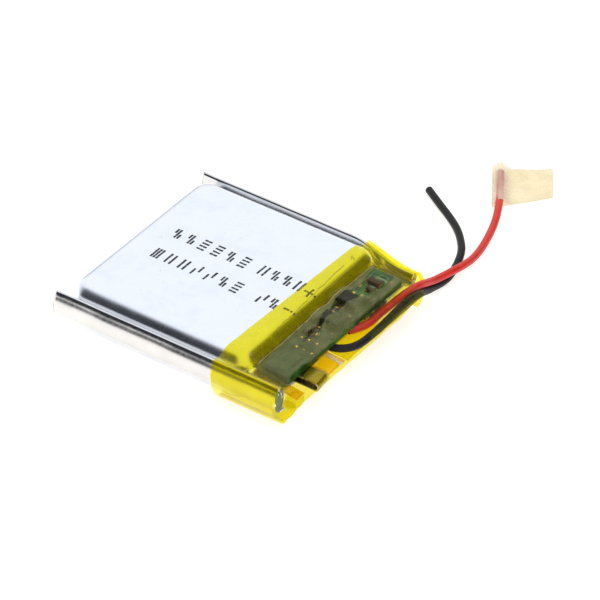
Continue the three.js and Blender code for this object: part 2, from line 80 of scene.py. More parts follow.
# ------------------------------------------------------------------ node helpers
class Tree:
    def __init__(self, name):
        self.m = bpy.data.materials.new(name)
        self.m.use_nodes = True
        self.t = self.m.node_tree
        self.t.nodes.clear()
        self.out = self.n("ShaderNodeOutputMaterial")
        self.co = self.n("ShaderNodeTexCoord").outputs["Object"]

    def n(self, kind, **props):
        node = self.t.nodes.new(kind)
        for k, v in props.items():
            setattr(node, k, v)
        return node

    def link(self, a, b):
        self.t.links.new(a, b)

    def mapped(self, scale=(1, 1, 1), rot=(0, 0, 0)):
        m = self.n("ShaderNodeMapping")
        m.inputs["Scale"].default_value = scale
        m.inputs["Rotation"].default_value = rot
        self.link(self.co, m.inputs["Vector"])
        return m.outputs["Vector"]

    def noise(self, scale, detail=3.0, rough=0.55, vec=None, dist=0.0):
        n = self.n("ShaderNodeTexNoise")
        n.inputs["Scale"].default_value = scale
        n.inputs["Detail"].default_value = detail
        n.inputs["Roughness"].default_value = rough
        n.inputs["Distortion"].default_value = dist
        self.link(vec or self.co, n.inputs["Vector"])
        return n.outputs["Fac"]

    def voronoi(self, scale, feature="F1", vec=None):
        n = self.n("ShaderNodeTexVoronoi", feature=feature)
        n.inputs["Scale"].default_value = scale
        self.link(vec or self.co, n.inputs["Vector"])
        return n.outputs["Distance"]

    def ramp(self, fac, stops, interp="LINEAR"):
        r = self.n("ShaderNodeValToRGB")
        r.color_ramp.interpolation = interp
        el = r.color_ramp.elements
        while len(el) < len(stops):
            el.new(0.5)
        for e, (pos, c) in zip(el, stops):
            e.position = pos
            e.color = (*c, 1) if len(c) == 3 else c
        self.link(fac, r.inputs["Fac"])
        return r.outputs["Color"]

    def rng(self, fac, a, b, lo=0.0, hi=1.0):
        m = self.n("ShaderNodeMapRange")
        m.inputs["From Min"].default_value = a
        m.inputs["From Max"].default_value = b
        m.inputs["To Min"].default_value = lo
        m.inputs["To Max"].default_value = hi
        self.link(fac, m.inputs["Value"])
        return m.outputs["Result"]

    def math(self, op, a, b):
        m = self.n("ShaderNodeMath", operation=op)
        for i, v in enumerate((a, b)):
            if isinstance(v, (int, float)):
                m.inputs[i].default_value = v
            else:
                self.link(v, m.inputs[i])
        return m.outputs[0]

    def mix(self, fac, a, b, blend="MIX"):
        m = self.n("ShaderNodeMix", data_type="RGBA", blend_type=blend)
        for name, v in (("Factor", fac), ("A", a), ("B", b)):
            sock = [s for s in m.inputs if s.name == name and (s.type == "RGBA" or name == "Factor") and s.enabled][0]
            if isinstance(v, (int, float)):
                sock.default_value = v
            elif isinstance(v, tuple):
                sock.default_value = (*v, 1)
            else:
                self.link(v, sock)
        return [s for s in m.outputs if s.type == "RGBA" and s.enabled][0]

    def attr(self, name):
        return self.n("ShaderNodeAttribute", attribute_name=name).outputs["Fac"]

    def bump(self, height, strength, distance=1e-5, normal=None):
        b = self.n("ShaderNodeBump")
        b.inputs["Strength"].default_value = strength
        b.inputs["Distance"].default_value = distance
        self.link(height, b.inputs["Height"])
        if normal:
            self.link(normal, b.inputs["Normal"])
        return b.outputs["Normal"]

    def principled(self, color, rough, metal=0.0, normal=None, **extra):
        p = self.n("ShaderNodeBsdfPrincipled")
        for name, v in [("Base Color", color), ("Roughness", rough), ("Metallic", metal)]:
            if isinstance(v, (int, float)):
                p.inputs[name].default_value = v
            elif isinstance(v, tuple):
                p.inputs[name].default_value = (*v, 1)
            else:
                self.link(v, p.inputs[name])
        for k, v in extra.items():
            p.inputs[k.replace("_", " ")].default_value = v
        if normal:
            self.link(normal, p.inputs["Normal"])
        return p.outputs["BSDF"]

    def done(self, shader):
        self.link(shader, self.out.inputs["Surface"])
        return self.m

    def mixsh(self, fac, a, b):
        m = self.n("ShaderNodeMixShader")
        if isinstance(fac, (int, float)):
            m.inputs[0].default_value = fac
        else:
            self.link(fac, m.inputs[0])
        self.link(a, m.inputs[1])
        self.link(b, m.inputs[2])
        return m.outputs[0]


def simple(name, dark, light, rough, metal=0.0, scale=900, bump=0.25, dist=8e-6, fine=6000, **extra):
    """Two tones broken up by noise, worn roughness and a fine bump."""
    t = Tree(name)
    a = t.noise(scale, 4)
    b = t.noise(fine, 3)
    col = t.ramp(t.math("ADD", t.math("MULTIPLY", a, 0.7), t.math("MULTIPLY", b, 0.3)), [(0.32, dark), (0.68, light)])
    r = t.rng(t.noise(scale * 1.7, 3), 0.3, 0.7, max(rough - 0.07, 0.03), rough + 0.09)
    n = t.bump(t.math("ADD", t.math("MULTIPLY", b, 0.4), a), bump, dist)
    return t.done(t.principled(col, r, metal, n, **extra))


# ------------------------------------------------------------------ materials
def foil_material():
    t = Tree("pouch_foil")
    smudge = t.noise(180, 4, 0.6, dist=0.6)
    cloud = t.noise(620, 3)
    scratch = t.noise(260, 2, 0.5, vec=t.mapped((1, 26, 1), (0, 0, 0.5)))
    scratch2 = t.noise(300, 2, 0.5, vec=t.mapped((30, 1, 1), (0, 0, 0.35)))
    grain = t.noise(9000, 2)
    speck = t.voronoi(900)
    col = t.ramp(t.math("ADD", t.math("MULTIPLY", smudge, 0.65), t.math("MULTIPLY", cloud, 0.35)),
                 [(0.33, (0.80, 0.83, 0.885)), (0.52, (0.86, 0.885, 0.93)), (0.72, (0.885, 0.905, 0.945))])
    dots = t.rng(speck, 0.028, 0.05, 0.0, 1.0)
    col = t.mix(dots, (0.30, 0.31, 0.34), col)
    lines = t.math("MULTIPLY", t.rng(scratch, 0.68, 0.73), 0.5)
    lines = t.math("ADD", lines, t.math("MULTIPLY", t.rng(scratch2, 0.69, 0.74), 0.5))
    r = t.math("ADD", t.rng(smudge, 0.3, 0.75, 0.21, 0.31), t.math("MULTIPLY", lines, 0.12))
    n = t.bump(grain, 0.12, 3e-6)
    n = t.bump(lines, 0.14, 5e-6, n)
    n = t.bump(cloud, 0.06, 2.0e-5, n)
    n = t.bump(t.noise(75, 2), 0.10, 1.0e-4, n)
    return t.done(t.principled(col, r, 1.0, n))


def seal_material():
    t = Tree("folded_seal_foil")
    a = t.noise(300, 4)
    b = t.noise(2600, 3)
    pull = t.noise(240, 3, vec=t.mapped((9, 1, 1)))
    col = t.ramp(a, [(0.3, (0.72, 0.715, 0.71)), (0.7, (0.80, 0.795, 0.79))])
    r = t.rng(b, 0.3, 0.7, 0.14, 0.22)
    n = t.bump(b, 0.08, 5e-6)
    n = t.bump(pull, 0.07, 2.5e-5, n)
    return t.done(t.principled(col, r, 1.0, n))


def film_material(name, tint, body, body_amount, rough=0.08, face=0.012, edge=0.6, dirt=0.3, crease=0.3, scale=420):
    """Thin transparent tape: a coloured see-through part, a little scattering body and a glossy face."""
    t = Tree(name)
    a = t.noise(scale, 4, 0.6, dist=0.4)
    b = t.noise(3800, 3)
    tr = t.n("ShaderNodeBsdfTransparent")
    t.link(t.ramp(a, [(0.3, tuple(c * 0.975 for c in tint)), (0.7, tint)]), tr.inputs["Color"])
    wr = t.noise(300, 3, vec=t.mapped((1, 5, 1), (0, 0, 0.2)))
    n = t.bump(b, 0.10, 5e-6)
    n = t.bump(a, crease, 4e-5, n)
    n = t.bump(wr, crease * 0.7, 4e-5, n)
    body_col = t.ramp(a, [(0.3, tuple(c * 0.86 for c in body)), (0.7, body)])
    d = t.n("ShaderNodeBsdfDiffuse")
    t.link(body_col, d.inputs["Color"])
    t.link(n, d.inputs["Normal"])
    amount = t.rng(t.math("ADD", a, t.math("MULTIPLY", b, 0.35)), 0.45, 0.95, body_amount * (1 - dirt), body_amount * (1 + dirt))
    s = t.mixsh(amount, tr.outputs[0], d.outputs[0])
    g = t.n("ShaderNodeBsdfGlossy")
    g.inputs["Color"].default_value = (1, 1, 1, 1)
    t.link(t.rng(b, 0.3, 0.7, rough * 0.7, rough * 1.6), g.inputs["Roughness"])
    t.link(n, g.inputs["Normal"])
    f = t.n("ShaderNodeLayerWeight")
    f.inputs["Blend"].default_value = 0.5
    t.link(n, f.inputs["Normal"])
    fac = t.rng(t.math("POWER", f.outputs["Facing"], 4.0), 0.0, 1.0, face, edge)
    return t, s, g.outputs[0], fac, a, b, n


def tape(name, tint, body, body_amount, **k):
    t, s, g, f, a, b, n = film_material(name, tint, body, body_amount, **k)
    return t.done(t.mixsh(f, s, g))


M_FOIL = foil_material()
M_SEAL = seal_material()
M_YELLOW = tape("yellow_tape", (0.996, 0.965, 0.41), (0.95, 0.82, 0.010), 0.06, crease=0.13)
M_YELLOW_DEEP = tape("yellow_tape_doubled", (0.93, 0.87, 0.32), (0.50, 0.44, 0.02), 0.12, crease=0.2)
# painted shade: near-black tones for the patch beside the chips that stands in for shadow under the lifted film
M_SHADE_PATCH = simple("painted_shade_under_film", (0.016, 0.011, 0.004), (0.060, 0.038, 0.010), 0.22, 0, 1800, 0.4)
M_EDGE = simple("film_edge", (0.22, 0.15, 0.02), (0.50, 0.38, 0.08), 0.3, 0, 1500, 0.3)
# painted shade: darker yellow-brown for the tubes laid along the tape's creases, standing in for the shade in the
# creases
M_CREASE_SHADE = simple("painted_crease_shade", (0.30, 0.22, 0.008), (0.60, 0.50, 0.02), 0.4, 0, 1500, 0.3)
M_ORANGE = tape("orange_tape", (0.998, 0.85, 0.16), (1.0, 0.50, 0.005), 0.20, rough=0.1, crease=0.2)
M_LEAF = tape("yellow_orange_leaf", (1.0, 0.93, 0.18), (1.0, 0.72, 0.005), 0.16, rough=0.09, crease=0.2)
M_NICKEL = simple("nickel_tab", (0.36, 0.34, 0.26), (0.62, 0.59, 0.47), 0.26, 1.0, 700, 0.3)
M_ALU = simple("aluminium_tab", (0.62, 0.63, 0.65), (0.82, 0.83, 0.85), 0.28, 1.0, 900, 0.3)
M_SEALANT = simple("tab_sealant", (0.62, 0.58, 0.42), (0.80, 0.77, 0.62), 0.4, 0, 900, 0.2)
M_SOLDER = simple("solder", (0.42, 0.43, 0.44), (0.66, 0.67, 0.68), 0.27, 1.0, 1500, 0.5)
M_STRANDS = simple("tinned_strands", (0.48, 0.38, 0.24), (0.74, 0.66, 0.50), 0.3, 1.0, 2500, 0.6)
M_GOLD = simple("gold_pad", (0.62, 0.36, 0.05), (0.95, 0.66, 0.16), 0.24, 1.0, 2600, 0.5)
M_CHIP = simple("moulded_chip", (0.004, 0.003, 0.002), (0.014, 0.010, 0.007), 0.5, 0, 2600, 0.5, Specular_IOR_Level=0.12)
M_CERAMIC = simple("ceramic_body", (0.035, 0.016, 0.008), (0.07, 0.036, 0.016), 0.45, 0, 2600, 0.4, Specular_IOR_Level=0.15)
M_CAP = simple("part_end_cap", (0.40, 0.20, 0.02), (0.80, 0.48, 0.07), 0.35, 0.8, 2600, 0.4)
M_FOAM = simple("foam_pad", (0.02, 0.02, 0.02), (0.06, 0.06, 0.055), 0.9, 0, 3500, 0.9, 4e-5)
M_SILK = simple("silkscreen_line", (0.20, 0.20, 0.06), (0.34, 0.33, 0.12), 0.6, 0, 3000, 0.3)
M_COPPER = simple("anode_copper", (0.20, 0.08, 0.05), (0.42, 0.20, 0.12), 0.5, 0.4, 700, 0.3)
M_CATHODE = simple("cathode_grey", (0.12, 0.125, 0.13), (0.24, 0.25, 0.26), 0.6, 0.2, 700, 0.3)
M_SEPARATOR = simple("separator_white", (0.74, 0.74, 0.72), (0.88, 0.88, 0.86), 0.6, 0, 700, 0.2)
M_GREEN_TAPE = simple("winding_tape_green", (0.05, 0.24, 0.09), (0.10, 0.36, 0.15), 0.35, 0, 700, 0.3)


def board_material():
    t = Tree("board_mask")
    a = t.noise(520, 4)
    weave = t.noise(2600, 2, vec=t.mapped((1, 8, 1)))
    weave2 = t.noise(2600, 2, vec=t.mapped((8, 1, 1)))
    blotch = t.rng(t.voronoi(420), 0.25, 0.62)
    col = t.ramp(t.math("ADD", t.math("MULTIPLY", a, 0.6), t.math("MULTIPLY", blotch, 0.4)),
                 [(0.28, (0.006, 0.045, 0.006)), (0.55, (0.014, 0.085, 0.012)), (0.8, (0.032, 0.14, 0.022))])
    n = t.bump(t.math("ADD", weave, weave2), 0.2, 8e-6)
    return t.done(t.principled(col, t.rng(a, 0.3, 0.7, 0.24, 0.4), 0.0, n, Specular_IOR_Level=0.15))


M_BOARD = board_material()
M_TRACK = simple("board_track", (0.028, 0.12, 0.018), (0.06, 0.20, 0.03), 0.3, 0, 1800, 0.4)


def lead_material(name, deep, mid, pale, rough, level):
    t = Tree(name)
    a = t.noise(500, 4)
    b = t.noise(5200, 3)
    streak = t.noise(420, 3, vec=t.mapped((1, 1, 1)))
    col = t.ramp(t.math("ADD", t.math("MULTIPLY", a, 0.75), t.math("MULTIPLY", b, 0.25)), [(0.3, deep), (0.5, mid), (0.78, pale)])
    n = t.bump(b, 0.22, 6e-6)
    n = t.bump(streak, 0.15, 2.5e-5, n)
    return t.done(t.principled(col, t.rng(a, 0.3, 0.7, rough - 0.05, rough + 0.1), 0.0, n, Specular_IOR_Level=level))


M_RED = lead_material("red_insulation", (0.46, 0.012, 0.006), (0.58, 0.022, 0.012), (0.68, 0.045, 0.028), 0.36, 0.4)
M_BLACK = lead_material("black_insulation", (0.005, 0.005, 0.005), (0.010, 0.010, 0.0095), (0.020, 0.020, 0.019), 0.42, 0.22)


def ink_material():
    t = Tree("printed_ink")
    a = t.noise(4200, 3)
    col = t.ramp(a, [(0.3, (0.008, 0.008, 0.012)), (0.7, (0.03, 0.03, 0.04))])
    n = t.bump(a, 0.3, 5e-6)
    return t.done(t.principled(col, t.rng(a, 0.3, 0.7, 0.45, 0.7), 0.0, n))


M_INK = ink_material()


def cover_film_material():
    """Clear tape that turns milky grey-green where it clings, read from the mesh's haze value."""
    t, s, g, f, a, b, n = film_material("board_cover_film", (0.975, 0.975, 0.90), (0.20, 0.20, 0.10), 0.03, rough=0.09, face=0.003, edge=0.35, crease=0.2, scale=700)
    haze = t.attr("haze")
    patch = t.noise(520, 4, 0.6, dist=1.2)
    # partly painted highlight: the lighter tones of the milky patches also stand in for sheen on the film's glossy
    # wrinkles
    milk_and_sheen_col = t.ramp(patch, [(0.28, (0.125, 0.130, 0.050)), (0.5, (0.175, 0.182, 0.078)), (0.75, (0.25, 0.255, 0.115))])
    d = t.n("ShaderNodeBsdfDiffuse")
    t.link(milk_and_sheen_col, d.inputs["Color"])
    t.link(n, d.inputs["Normal"])
    amount = t.math("MULTIPLY", haze, t.rng(t.math("ADD", patch, t.math("MULTIPLY", b, 0.3)), 0.35, 0.95, 0.36, 0.58))
    s2 = t.mixsh(amount, s, d.outputs[0])
    return t.done(t.mixsh(f, s2, g))


M_COVER = cover_film_material()
M_CLEAR = tape("clear_edge_tape", (0.975, 0.95, 0.76), (0.17, 0.15, 0.05), 0.02, face=0.002, edge=0.12, rough=0.1, crease=0.1)
M_OLIVE = tape("olive_film_edge", (0.84, 0.80, 0.42), (0.105, 0.105, 0.035), 0.42, face=0.004, edge=0.3, rough=0.12, crease=0.2)
M_SKIRT = tape("whitish_film_fold", (0.97, 0.95, 0.86), (0.80, 0.76, 0.60), 0.30, rough=0.12, crease=0.25)
# painted shade: the dark olive-grey body of this skin stands in for the shaded hollow inside the folded seal's open end
M_ENDSKIN_SHADE = tape("seal_end_painted_shade", (0.72, 0.76, 0.50), (0.17, 0.20, 0.10), 0.72, rough=0.12, edge=0.35, crease=0.2)


def flag_material():
    t, s, g, f, a, b, n = film_material("flag_tape", (0.997, 0.985, 0.93), (0.97, 0.92, 0.76), 0.34, rough=0.2, crease=0.15)
    tl = t.n("ShaderNodeBsdfTranslucent")
    t.link(t.ramp(a, [(0.3, (0.94, 0.87, 0.70)), (0.7, (0.97, 0.92, 0.80))]), tl.inputs["Color"])
    s2 = t.mixsh(0.28, s, tl.outputs[0])
    return t.done(t.mixsh(f, s2, g))


M_FLAG = flag_material()


# ------------------------------------------------------------------ mesh helpers
def build(name, verts, faces, mat, slot, smooth=True, replaces=(), attrs=None, bevel=0.0):
    me = bpy.data.meshes.new(name)
    me.from_pydata([P(v) for v in verts], [], faces)
    me.update()
    if attrs:
        for key, vals in attrs.items():
            at = me.attributes.new(key, "FLOAT", "POINT")
            at.data.foreach_set("value", np.asarray(vals, dtype=np.float32))
    if smooth:
        me.polygons.foreach_set("use_smooth", [True] * len(me.polygons))
    me.materials.append(mat)
    o = bpy.data.objects.new(name, me)
    bpy.context.scene.collection.objects.link(o)
    if bevel:
        b = o.modifiers.new("edge", "BEVEL")
        b.width = bevel * 1e-3
        b.segments = 2
        b.limit_method = "ANGLE"
        b.angle_limit = math.radians(40)
    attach(o, "root")
    if replaces:
        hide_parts(*replaces)
    return o


def grid_normals(G, wrap=False):
    if wrap:
        du = np.roll(G, -1, 0) - np.roll(G, 1, 0)
    else:
        du = np.gradient(G, axis=0)
    dv = np.gradient(G, axis=1)
    n = np.cross(du, dv)
    return n / np.maximum(np.linalg.norm(n, axis=2, keepdims=True), 1e-9)


def sheet(name, G, th, mat, slot, flip=False, wrap=False, **k):
    """Closed thin solid: the grid G and its copy moved th along the normal."""
    n = grid_normals(G, wrap)
    H = G + n * th * (-1 if flip else 1)
    nu, nv = G.shape[:2]
    verts = [tuple(p) for p in G.reshape(-1, 3)] + [tuple(p) for p in H.reshape(-1, 3)]
    N = nu * nv
    faces = []

    def q(a, b, c, d):
        faces.append((d, c, b, a) if flip else (a, b, c, d))

    ru = nu if wrap else nu - 1
    for i in range(ru):
        j = (i + 1) % nu
        for v in range(nv - 1):
            a, b, c, d = i * nv + v, j * nv + v, j * nv + v + 1, i * nv + v + 1
            q(a, d, c, b)
            q(N + a, N + b, N + c, N + d)
        a, b = i * nv, j * nv
        q(a, b, N + b, N + a)
        a, b = i * nv + nv - 1, j * nv + nv - 1
        q(b, a, N + a, N + b)
    if not wrap:
        for v in range(nv - 1):
            a, b = v, v + 1
            q(b, a, N + a, N + b)
            a, b = (nu - 1) * nv + v, (nu - 1) * nv + v + 1
            q(a, b, N + b, N + a)
    attrs = k.pop("attrs", None)
    if attrs:
        attrs = {key: np.concatenate([np.ravel(v), np.ravel(v)]) for key, v in attrs.items()}
    return build(name, verts, faces, mat, slot, attrs=attrs, **k)


def loft(name, loops, mat, slot, **k):
    n = len(loops[0])
    verts, faces = [], []
    for l in loops:
        verts.extend(l)
    for i in range(len(loops) - 1):
        for j in range(n):
            a, b = i * n + j, i * n + (j + 1) % n
            faces.append((a, b, b + n, a + n))
    faces.append(tuple(reversed(range(n))))
    faces.append(tuple((len(loops) - 1) * n + j for j in range(n)))
    return build(name, verts, faces, mat, slot, **k)


def boxes(name, items, mat, slot, bevel=0.0, **k):
    """Boxes given as centre, size and turn about z, all in one object."""
    verts, faces = [], []
    for (cx, cy, cz), (sx, sy, sz), ang in items:
        c, s = math.cos(ang), math.sin(ang)
        base = len(verts)
        for z in (-sz / 2, sz / 2):
            for x, y in ((-sx / 2, -sy / 2), (sx / 2, -sy / 2), (sx / 2, sy / 2), (-sx / 2, sy / 2)):
                verts.append((cx + x * c - y * s, cy + x * s + y * c, cz + z))
        for f in ((3, 2, 1, 0), (4, 5, 6, 7), (0, 1, 5, 4), (1, 2, 6, 5), (2, 3, 7, 6), (3, 0, 4, 7)):
            faces.append(tuple(base + i for i in f))
    return build(name, verts, faces, mat, slot, smooth=False, bevel=bevel, **k)


def discs(name, items, mat, slot, n=16, **k):
    verts, faces = [], []
    for (cx, cy, z0), r, h in items:
        base = len(verts)
        for z, rr in ((z0, r), (z0 + h * 0.7, r), (z0 + h, r * 0.8)):
            for i in range(n):
                a = 2 * math.pi * i / n
                verts.append((cx + rr * math.cos(a), cy + rr * math.sin(a), z))
        for l in range(2):
            for i in range(n):
                a, b = base + l * n + i, base + l * n + (i + 1) % n
                faces.append((a, b, b + n, a + n))
        faces.append(tuple(base + i for i in reversed(range(n))))
        faces.append(tuple(base + 2 * n + i for i in range(n)))
    return build(name, verts, faces, mat, slot, smooth=False, **k)


def catmull(pts, per=8):
    """Centripetal curve through pts."""
    pts = [np.array(p, float) for p in pts]
    ext = [2 * pts[0] - pts[1]] + pts + [2 * pts[-1] - pts[-2]]
    out = []
    for i in range(1, len(ext) - 2):
        p0, p1, p2, p3 = ext[i - 1:i + 3]
        t0 = 0.0
        t1 = t0 + math.sqrt(np.linalg.norm(p1 - p0))
        t2 = t1 + math.sqrt(np.linalg.norm(p2 - p1))
        t3 = t2 + math.sqrt(np.linalg.norm(p3 - p2))
        for k in range(per):
            t = t1 + (t2 - t1) * k / per
            a1 = (t1 - t) / (t1 - t0) * p0 + (t - t0) / (t1 - t0) * p1
            a2 = (t2 - t) / (t2 - t1) * p1 + (t - t1) / (t2 - t1) * p2
            a3 = (t3 - t) / (t3 - t2) * p2 + (t - t2) / (t3 - t2) * p3
            b1 = (t2 - t) / (t2 - t0) * a1 + (t - t0) / (t2 - t0) * a2
            b2 = (t3 - t) / (t3 - t1) * a2 + (t - t1) / (t3 - t1) * a3
            out.append((t2 - t) / (t2 - t1) * b1 + (t - t1) / (t2 - t1) * b2)
    out.append(pts[-1])
    return np.array(out)


def resample(line, n):
    d = np.r_[0, np.cumsum(np.linalg.norm(np.diff(line, axis=0), axis=1))]
    t = np.linspace(0, d[-1], n)
    return np.stack([np.interp(t, d, line[:, k]) for k in range(line.shape[1])], 1)


# ------------------------------------------------------------------ pouch body
BX0, BX1, HW = 0.65, 24.0, 12.4
Z0, Z1, SEAM = 0.12, 5.6, 2.05
CR, SR, FR = 2.3, 2.1, 1.1


def plan(d, n=20, m=26):
    """Rounded rectangle inset by d, as (x, y) points with a fixed count."""
    x0, x1, hw = BX0 + d, BX1 - d, HW - d
    r = min(max(CR - d, 0.45), (x1 - x0) / 2 - 0.02)
    pts = []
    for cx, cy, a0 in ((x1 - r, -hw + r, -90), (x1 - r, hw - r, 0), (x0 + r, hw - r, 90), (x0 + r, -hw + r, 180)):
        for i in range(n):
            a = math.radians(a0 + 90 * i / (n - 1))
            pts.append((cx + r * math.cos(a), cy + r * math.sin(a)))
        # straight run to the next corner
        nxt = {-90: (x1, hw - r), 0: (x0 + r, hw), 90: (x0, -hw + r), 180: (x1 - r, -hw)}[a0]
        cur = pts[-1]
        for i in range(1, m):
            f = i / m
            pts.append((cur[0] + (nxt[0] - cur[0]) * f, cur[1] + (nxt[1] - cur[1]) * f))
    return pts


def inset_of(x, y):
    """Distance inside the cup's outline in plan."""
    cx, hx = (BX0 + BX1) / 2, (BX1 - BX0) / 2
    qx, qy = abs(x - cx) - (hx - CR), abs(y) - (HW - CR)
    return CR - (math.hypot(max(qx, 0), max(qy, 0)) + min(max(qx, qy), 0))


def body_top(x, y):
    d = inset_of(x, y)
    if d <= 0:
        return 0.0
    z = Z1 if d >= SR else Z1 - SR + math.sqrt(max(SR * SR - (SR - d) ** 2, 0))
    return z + dish(x, y, d)


def dish(x, y, d):
    """Slight crown, sink near the edge and press marks of the top face."""
    k = float(sm(0.3, 4.0, d))
    return k * (0.020 * nz(x, y, 0, 0.11) + 0.012 * nz(x, y, 3, 0.33) - 0.012) - 0.03 * float(sm(0.4, 2.2, d)) * (1 - float(sm(2.6, 5.2, d)))


loops = []


def ring(z, d, top=False):
    l = []
    for x, y in plan(d):
        zz = z
        if top:
            zz = z + dish(x, y, inset_of(x, y))
            # the folded end has a tighter edge than the sides
            e = float(sm(5.0, 1.2, x)) * (1.0 - float(sm(HW - 2.6, HW - 0.6, abs(y))))
            if d < SR and e > 0:
                dd = x - BX0
                tight = Z1 - 1.25 + math.sqrt(max(1.25 ** 2 - max(1.25 - dd, 0.0) ** 2, 0.0))
                if z > Z1 - SR + 0.02:
                    zz = zz + (min(tight, Z1) - z) * e * float(sm(0.0, 0.9, z - (Z1 - SR)))
        # soft dents along the walls
        w = 0.03 * nz(x, y, z, 0.35)
        cx = 12.35
        ux, uy = x - cx, y
        L = math.hypot(ux, uy)
        l.append((x + ux / L * w * 0.5, y + uy / L * w * 0.5, zz))
    return l


for d in (11.6, 10, 8, 6, 4, 2.5, 1.5):
    loops.append(ring(Z0 + 0.0, d + 0.0))
for i in range(0, 9):
    a = math.pi / 2 * i / 8
    loops.append(ring(Z0 + FR * (1 - math.sin(a)), FR * (1 - math.cos(a))))
loops = loops[:7] + loops[7:][::-1]
loops = [ring(Z0, d) for d in (11.2, 10, 8, 6, 4, 2.5, 1.5)] + [ring(Z0 + FR * (1 - math.cos(math.pi / 2 * i / 8)), FR * (1 - math.sin(math.pi / 2 * i / 8))) for i in range(9)]
loops += [ring(1.6, 0), ring(1.98, 0), ring(2.05, 0.04), ring(2.12, 0), ring(2.7, 0), ring(3.2, 0)]
for i in range(15):
    a = math.pi / 2 * i / 14
    loops.append(ring(Z1 - SR * (1 - math.sin(a)), SR * (1 - math.cos(a)), True))
loops += [ring(Z1, d, True) for d in (2.4, 2.8, 3.3, 3.9, 4.6, 5.4, 6.3, 7.2, 8.1, 9.0, 9.9, 10.8, 11.2)]
loft("pouch_body", loops, M_FOIL, "pouch_laminate", replaces=("pouch_upper_film", "pouch_lower_film"))

# ------------------------------------------------------------------ folded side seals
SEAL = [(-12.30, 2.05), (-12.8, 2.05), (-13.2, 2.2), (-13.48, 2.62), (-13.6, 3.2), (-13.57, 3.62), (-13.46, 4.0), (-13.28, 4.42),
        (-13.12, 4.78), (-12.98, 4.93), (-12.88, 4.86), (-12.78, 4.5), (-12.66, 4.0), (-12.62, 3.6)]
LOW = [(-12.30, 2.05), (-12.5, 2.05), (-12.8, 2.12), (-13.1, 2.25), (-13.24, 2.45), (-13.28, 2.66), (-13.24, 2.84), (-13.17, 2.98),
       (-13.09, 3.08), (-13.0, 3.12), (-12.9, 3.05), (-12.78, 2.9), (-12.66, 2.75), (-12.56, 2.55)]


def seal_grid(x0, x1, nx, low_from=None, low_to=None, sign=1, seed=0.0):
    NS = 46
    a = resample(catmull(SEAL, 6), NS)
    b = resample(catmull(LOW, 6), NS)
    G = np.zeros((nx, NS, 3))
    for i in range(nx):
        x = x0 + (x1 - x0) * i / (nx - 1)
        k = 0.0 if low_from is None else float(sm(low_from, low_to, x))
        s = a * (1 - k) + b * k
        for j in range(NS):
            y, z = s[j]
            f = j / (NS - 1)
            amp = math.sin(math.pi * min(f * 1.15, 1.0))
            w = 0.035 * nz(x * 0.9, f * 3, seed, 0.35) + 0.004 * nz(x, f * 4, seed + 5, 1.4)
            zz = z + amp * (0.035 * nz(x * 0.7, 9 + seed, 0, 0.45))
            yy = y - w * amp
            # the free ends open a little
            e = float(sm(1.4, 0.0, x - x0)) if x0 < 5 else 0.0
            yy -= 0.05 * e * f
            G[i, j] = (x, yy * sign, zz)
    return G


G = seal_grid(0.0, 28.75, 150, seed=1.0)
sheet("front_seal_outer_film", G, 0.115, M_SEAL, "pouch_laminate", flip=False)
sheet("front_seal_inner_film", G, 0.115, M_SEAL, "pouch_laminate", flip=True)
G = seal_grid(0.0, 27.6, 150, 19.8, 26.4, -1, 7.0)
sheet("back_seal_outer_film", G, 0.115, M_SEAL, "pouch_laminate", flip=True)
sheet("back_seal_inner_film", G, 0.115, M_SEAL, "pouch_laminate", flip=False)

# ------------------------------------------------------------------ terrace
nx, ny = 14, 90
G = np.zeros((nx, ny, 3))
for i in range(nx):
    for j in range(ny):
        x = 23.75 + (26.9 - 23.75) * i / (nx - 1)
        y = -12.35 + 24.7 * j / (ny - 1)
        bumpz = sum(0.13 * float(sm(2.5, 2.0, abs(y - c))) for c in (-7.5, 6.5))
        G[i, j] = (x, y, SEAM + 0.02 + bumpz + 0.012 * nz(x, y, 1, 1.2))
sheet("terrace_upper_film", G, 0.11, M_SEAL, "pouch_laminate")
G2 = G.copy()
G2[:, :, 2] = 2 * SEAM - G[:, :, 2]
sheet("terrace_lower_film", G2, 0.11, M_SEAL, "pouch_laminate", flip=True)

# ------------------------------------------------------------------ draped film heights
def back_rim(x):
    k = float(sm(19.8, 26.4, x))
    return 5.0 * (1 - k) + 3.14 * k


GX = np.arange(20.2, 29.0001, 0.11)
GY = np.arange(-13.53, 13.5301, 0.11)
PARTS = [  # x0, x1, y0, y1, top
    (24.2, 27.85, -10.1, 10.4, 4.2),
    (24.35, 27.15, 3.05, 4.95, 4.84), (24.7, 27.4, -0.8, 1.0, 4.84),
    (25.10, 26.80, 7.6, 8.5, 4.64), (25.75, 26.85, 6.4, 7.0, 4.60), (24.65, 25.25, -3.3, -2.2, 4.56),
    (25.6, 27.4, -5.2, -4.2, 4.36),
]


def support(x, y):
    h = 2.42 if x < 29.6 and abs(y) < 10.4 else (2.2 if x < 27 else 0.1)
    h = max(h, body_top(x, y))
    if y < -12.7:
        h = max(h, 5.10 - 1.2 * max(0.0, abs(y + 13.02) - 0.25) ** 1.4)
    if y > 12.7:
        r = back_rim(x)
        h = max(h, r + 0.06 - 1.2 * max(0.0, abs(y - 13.02) - 0.25) ** 1.4)
    for x0, x1, y0, y1, t in PARTS:
        if x0 <= x <= x1 and y0 <= y <= y1:
            h = max(h, t)
    return h


S = np.array([[support(x, y) for y in GY] for x in GX])


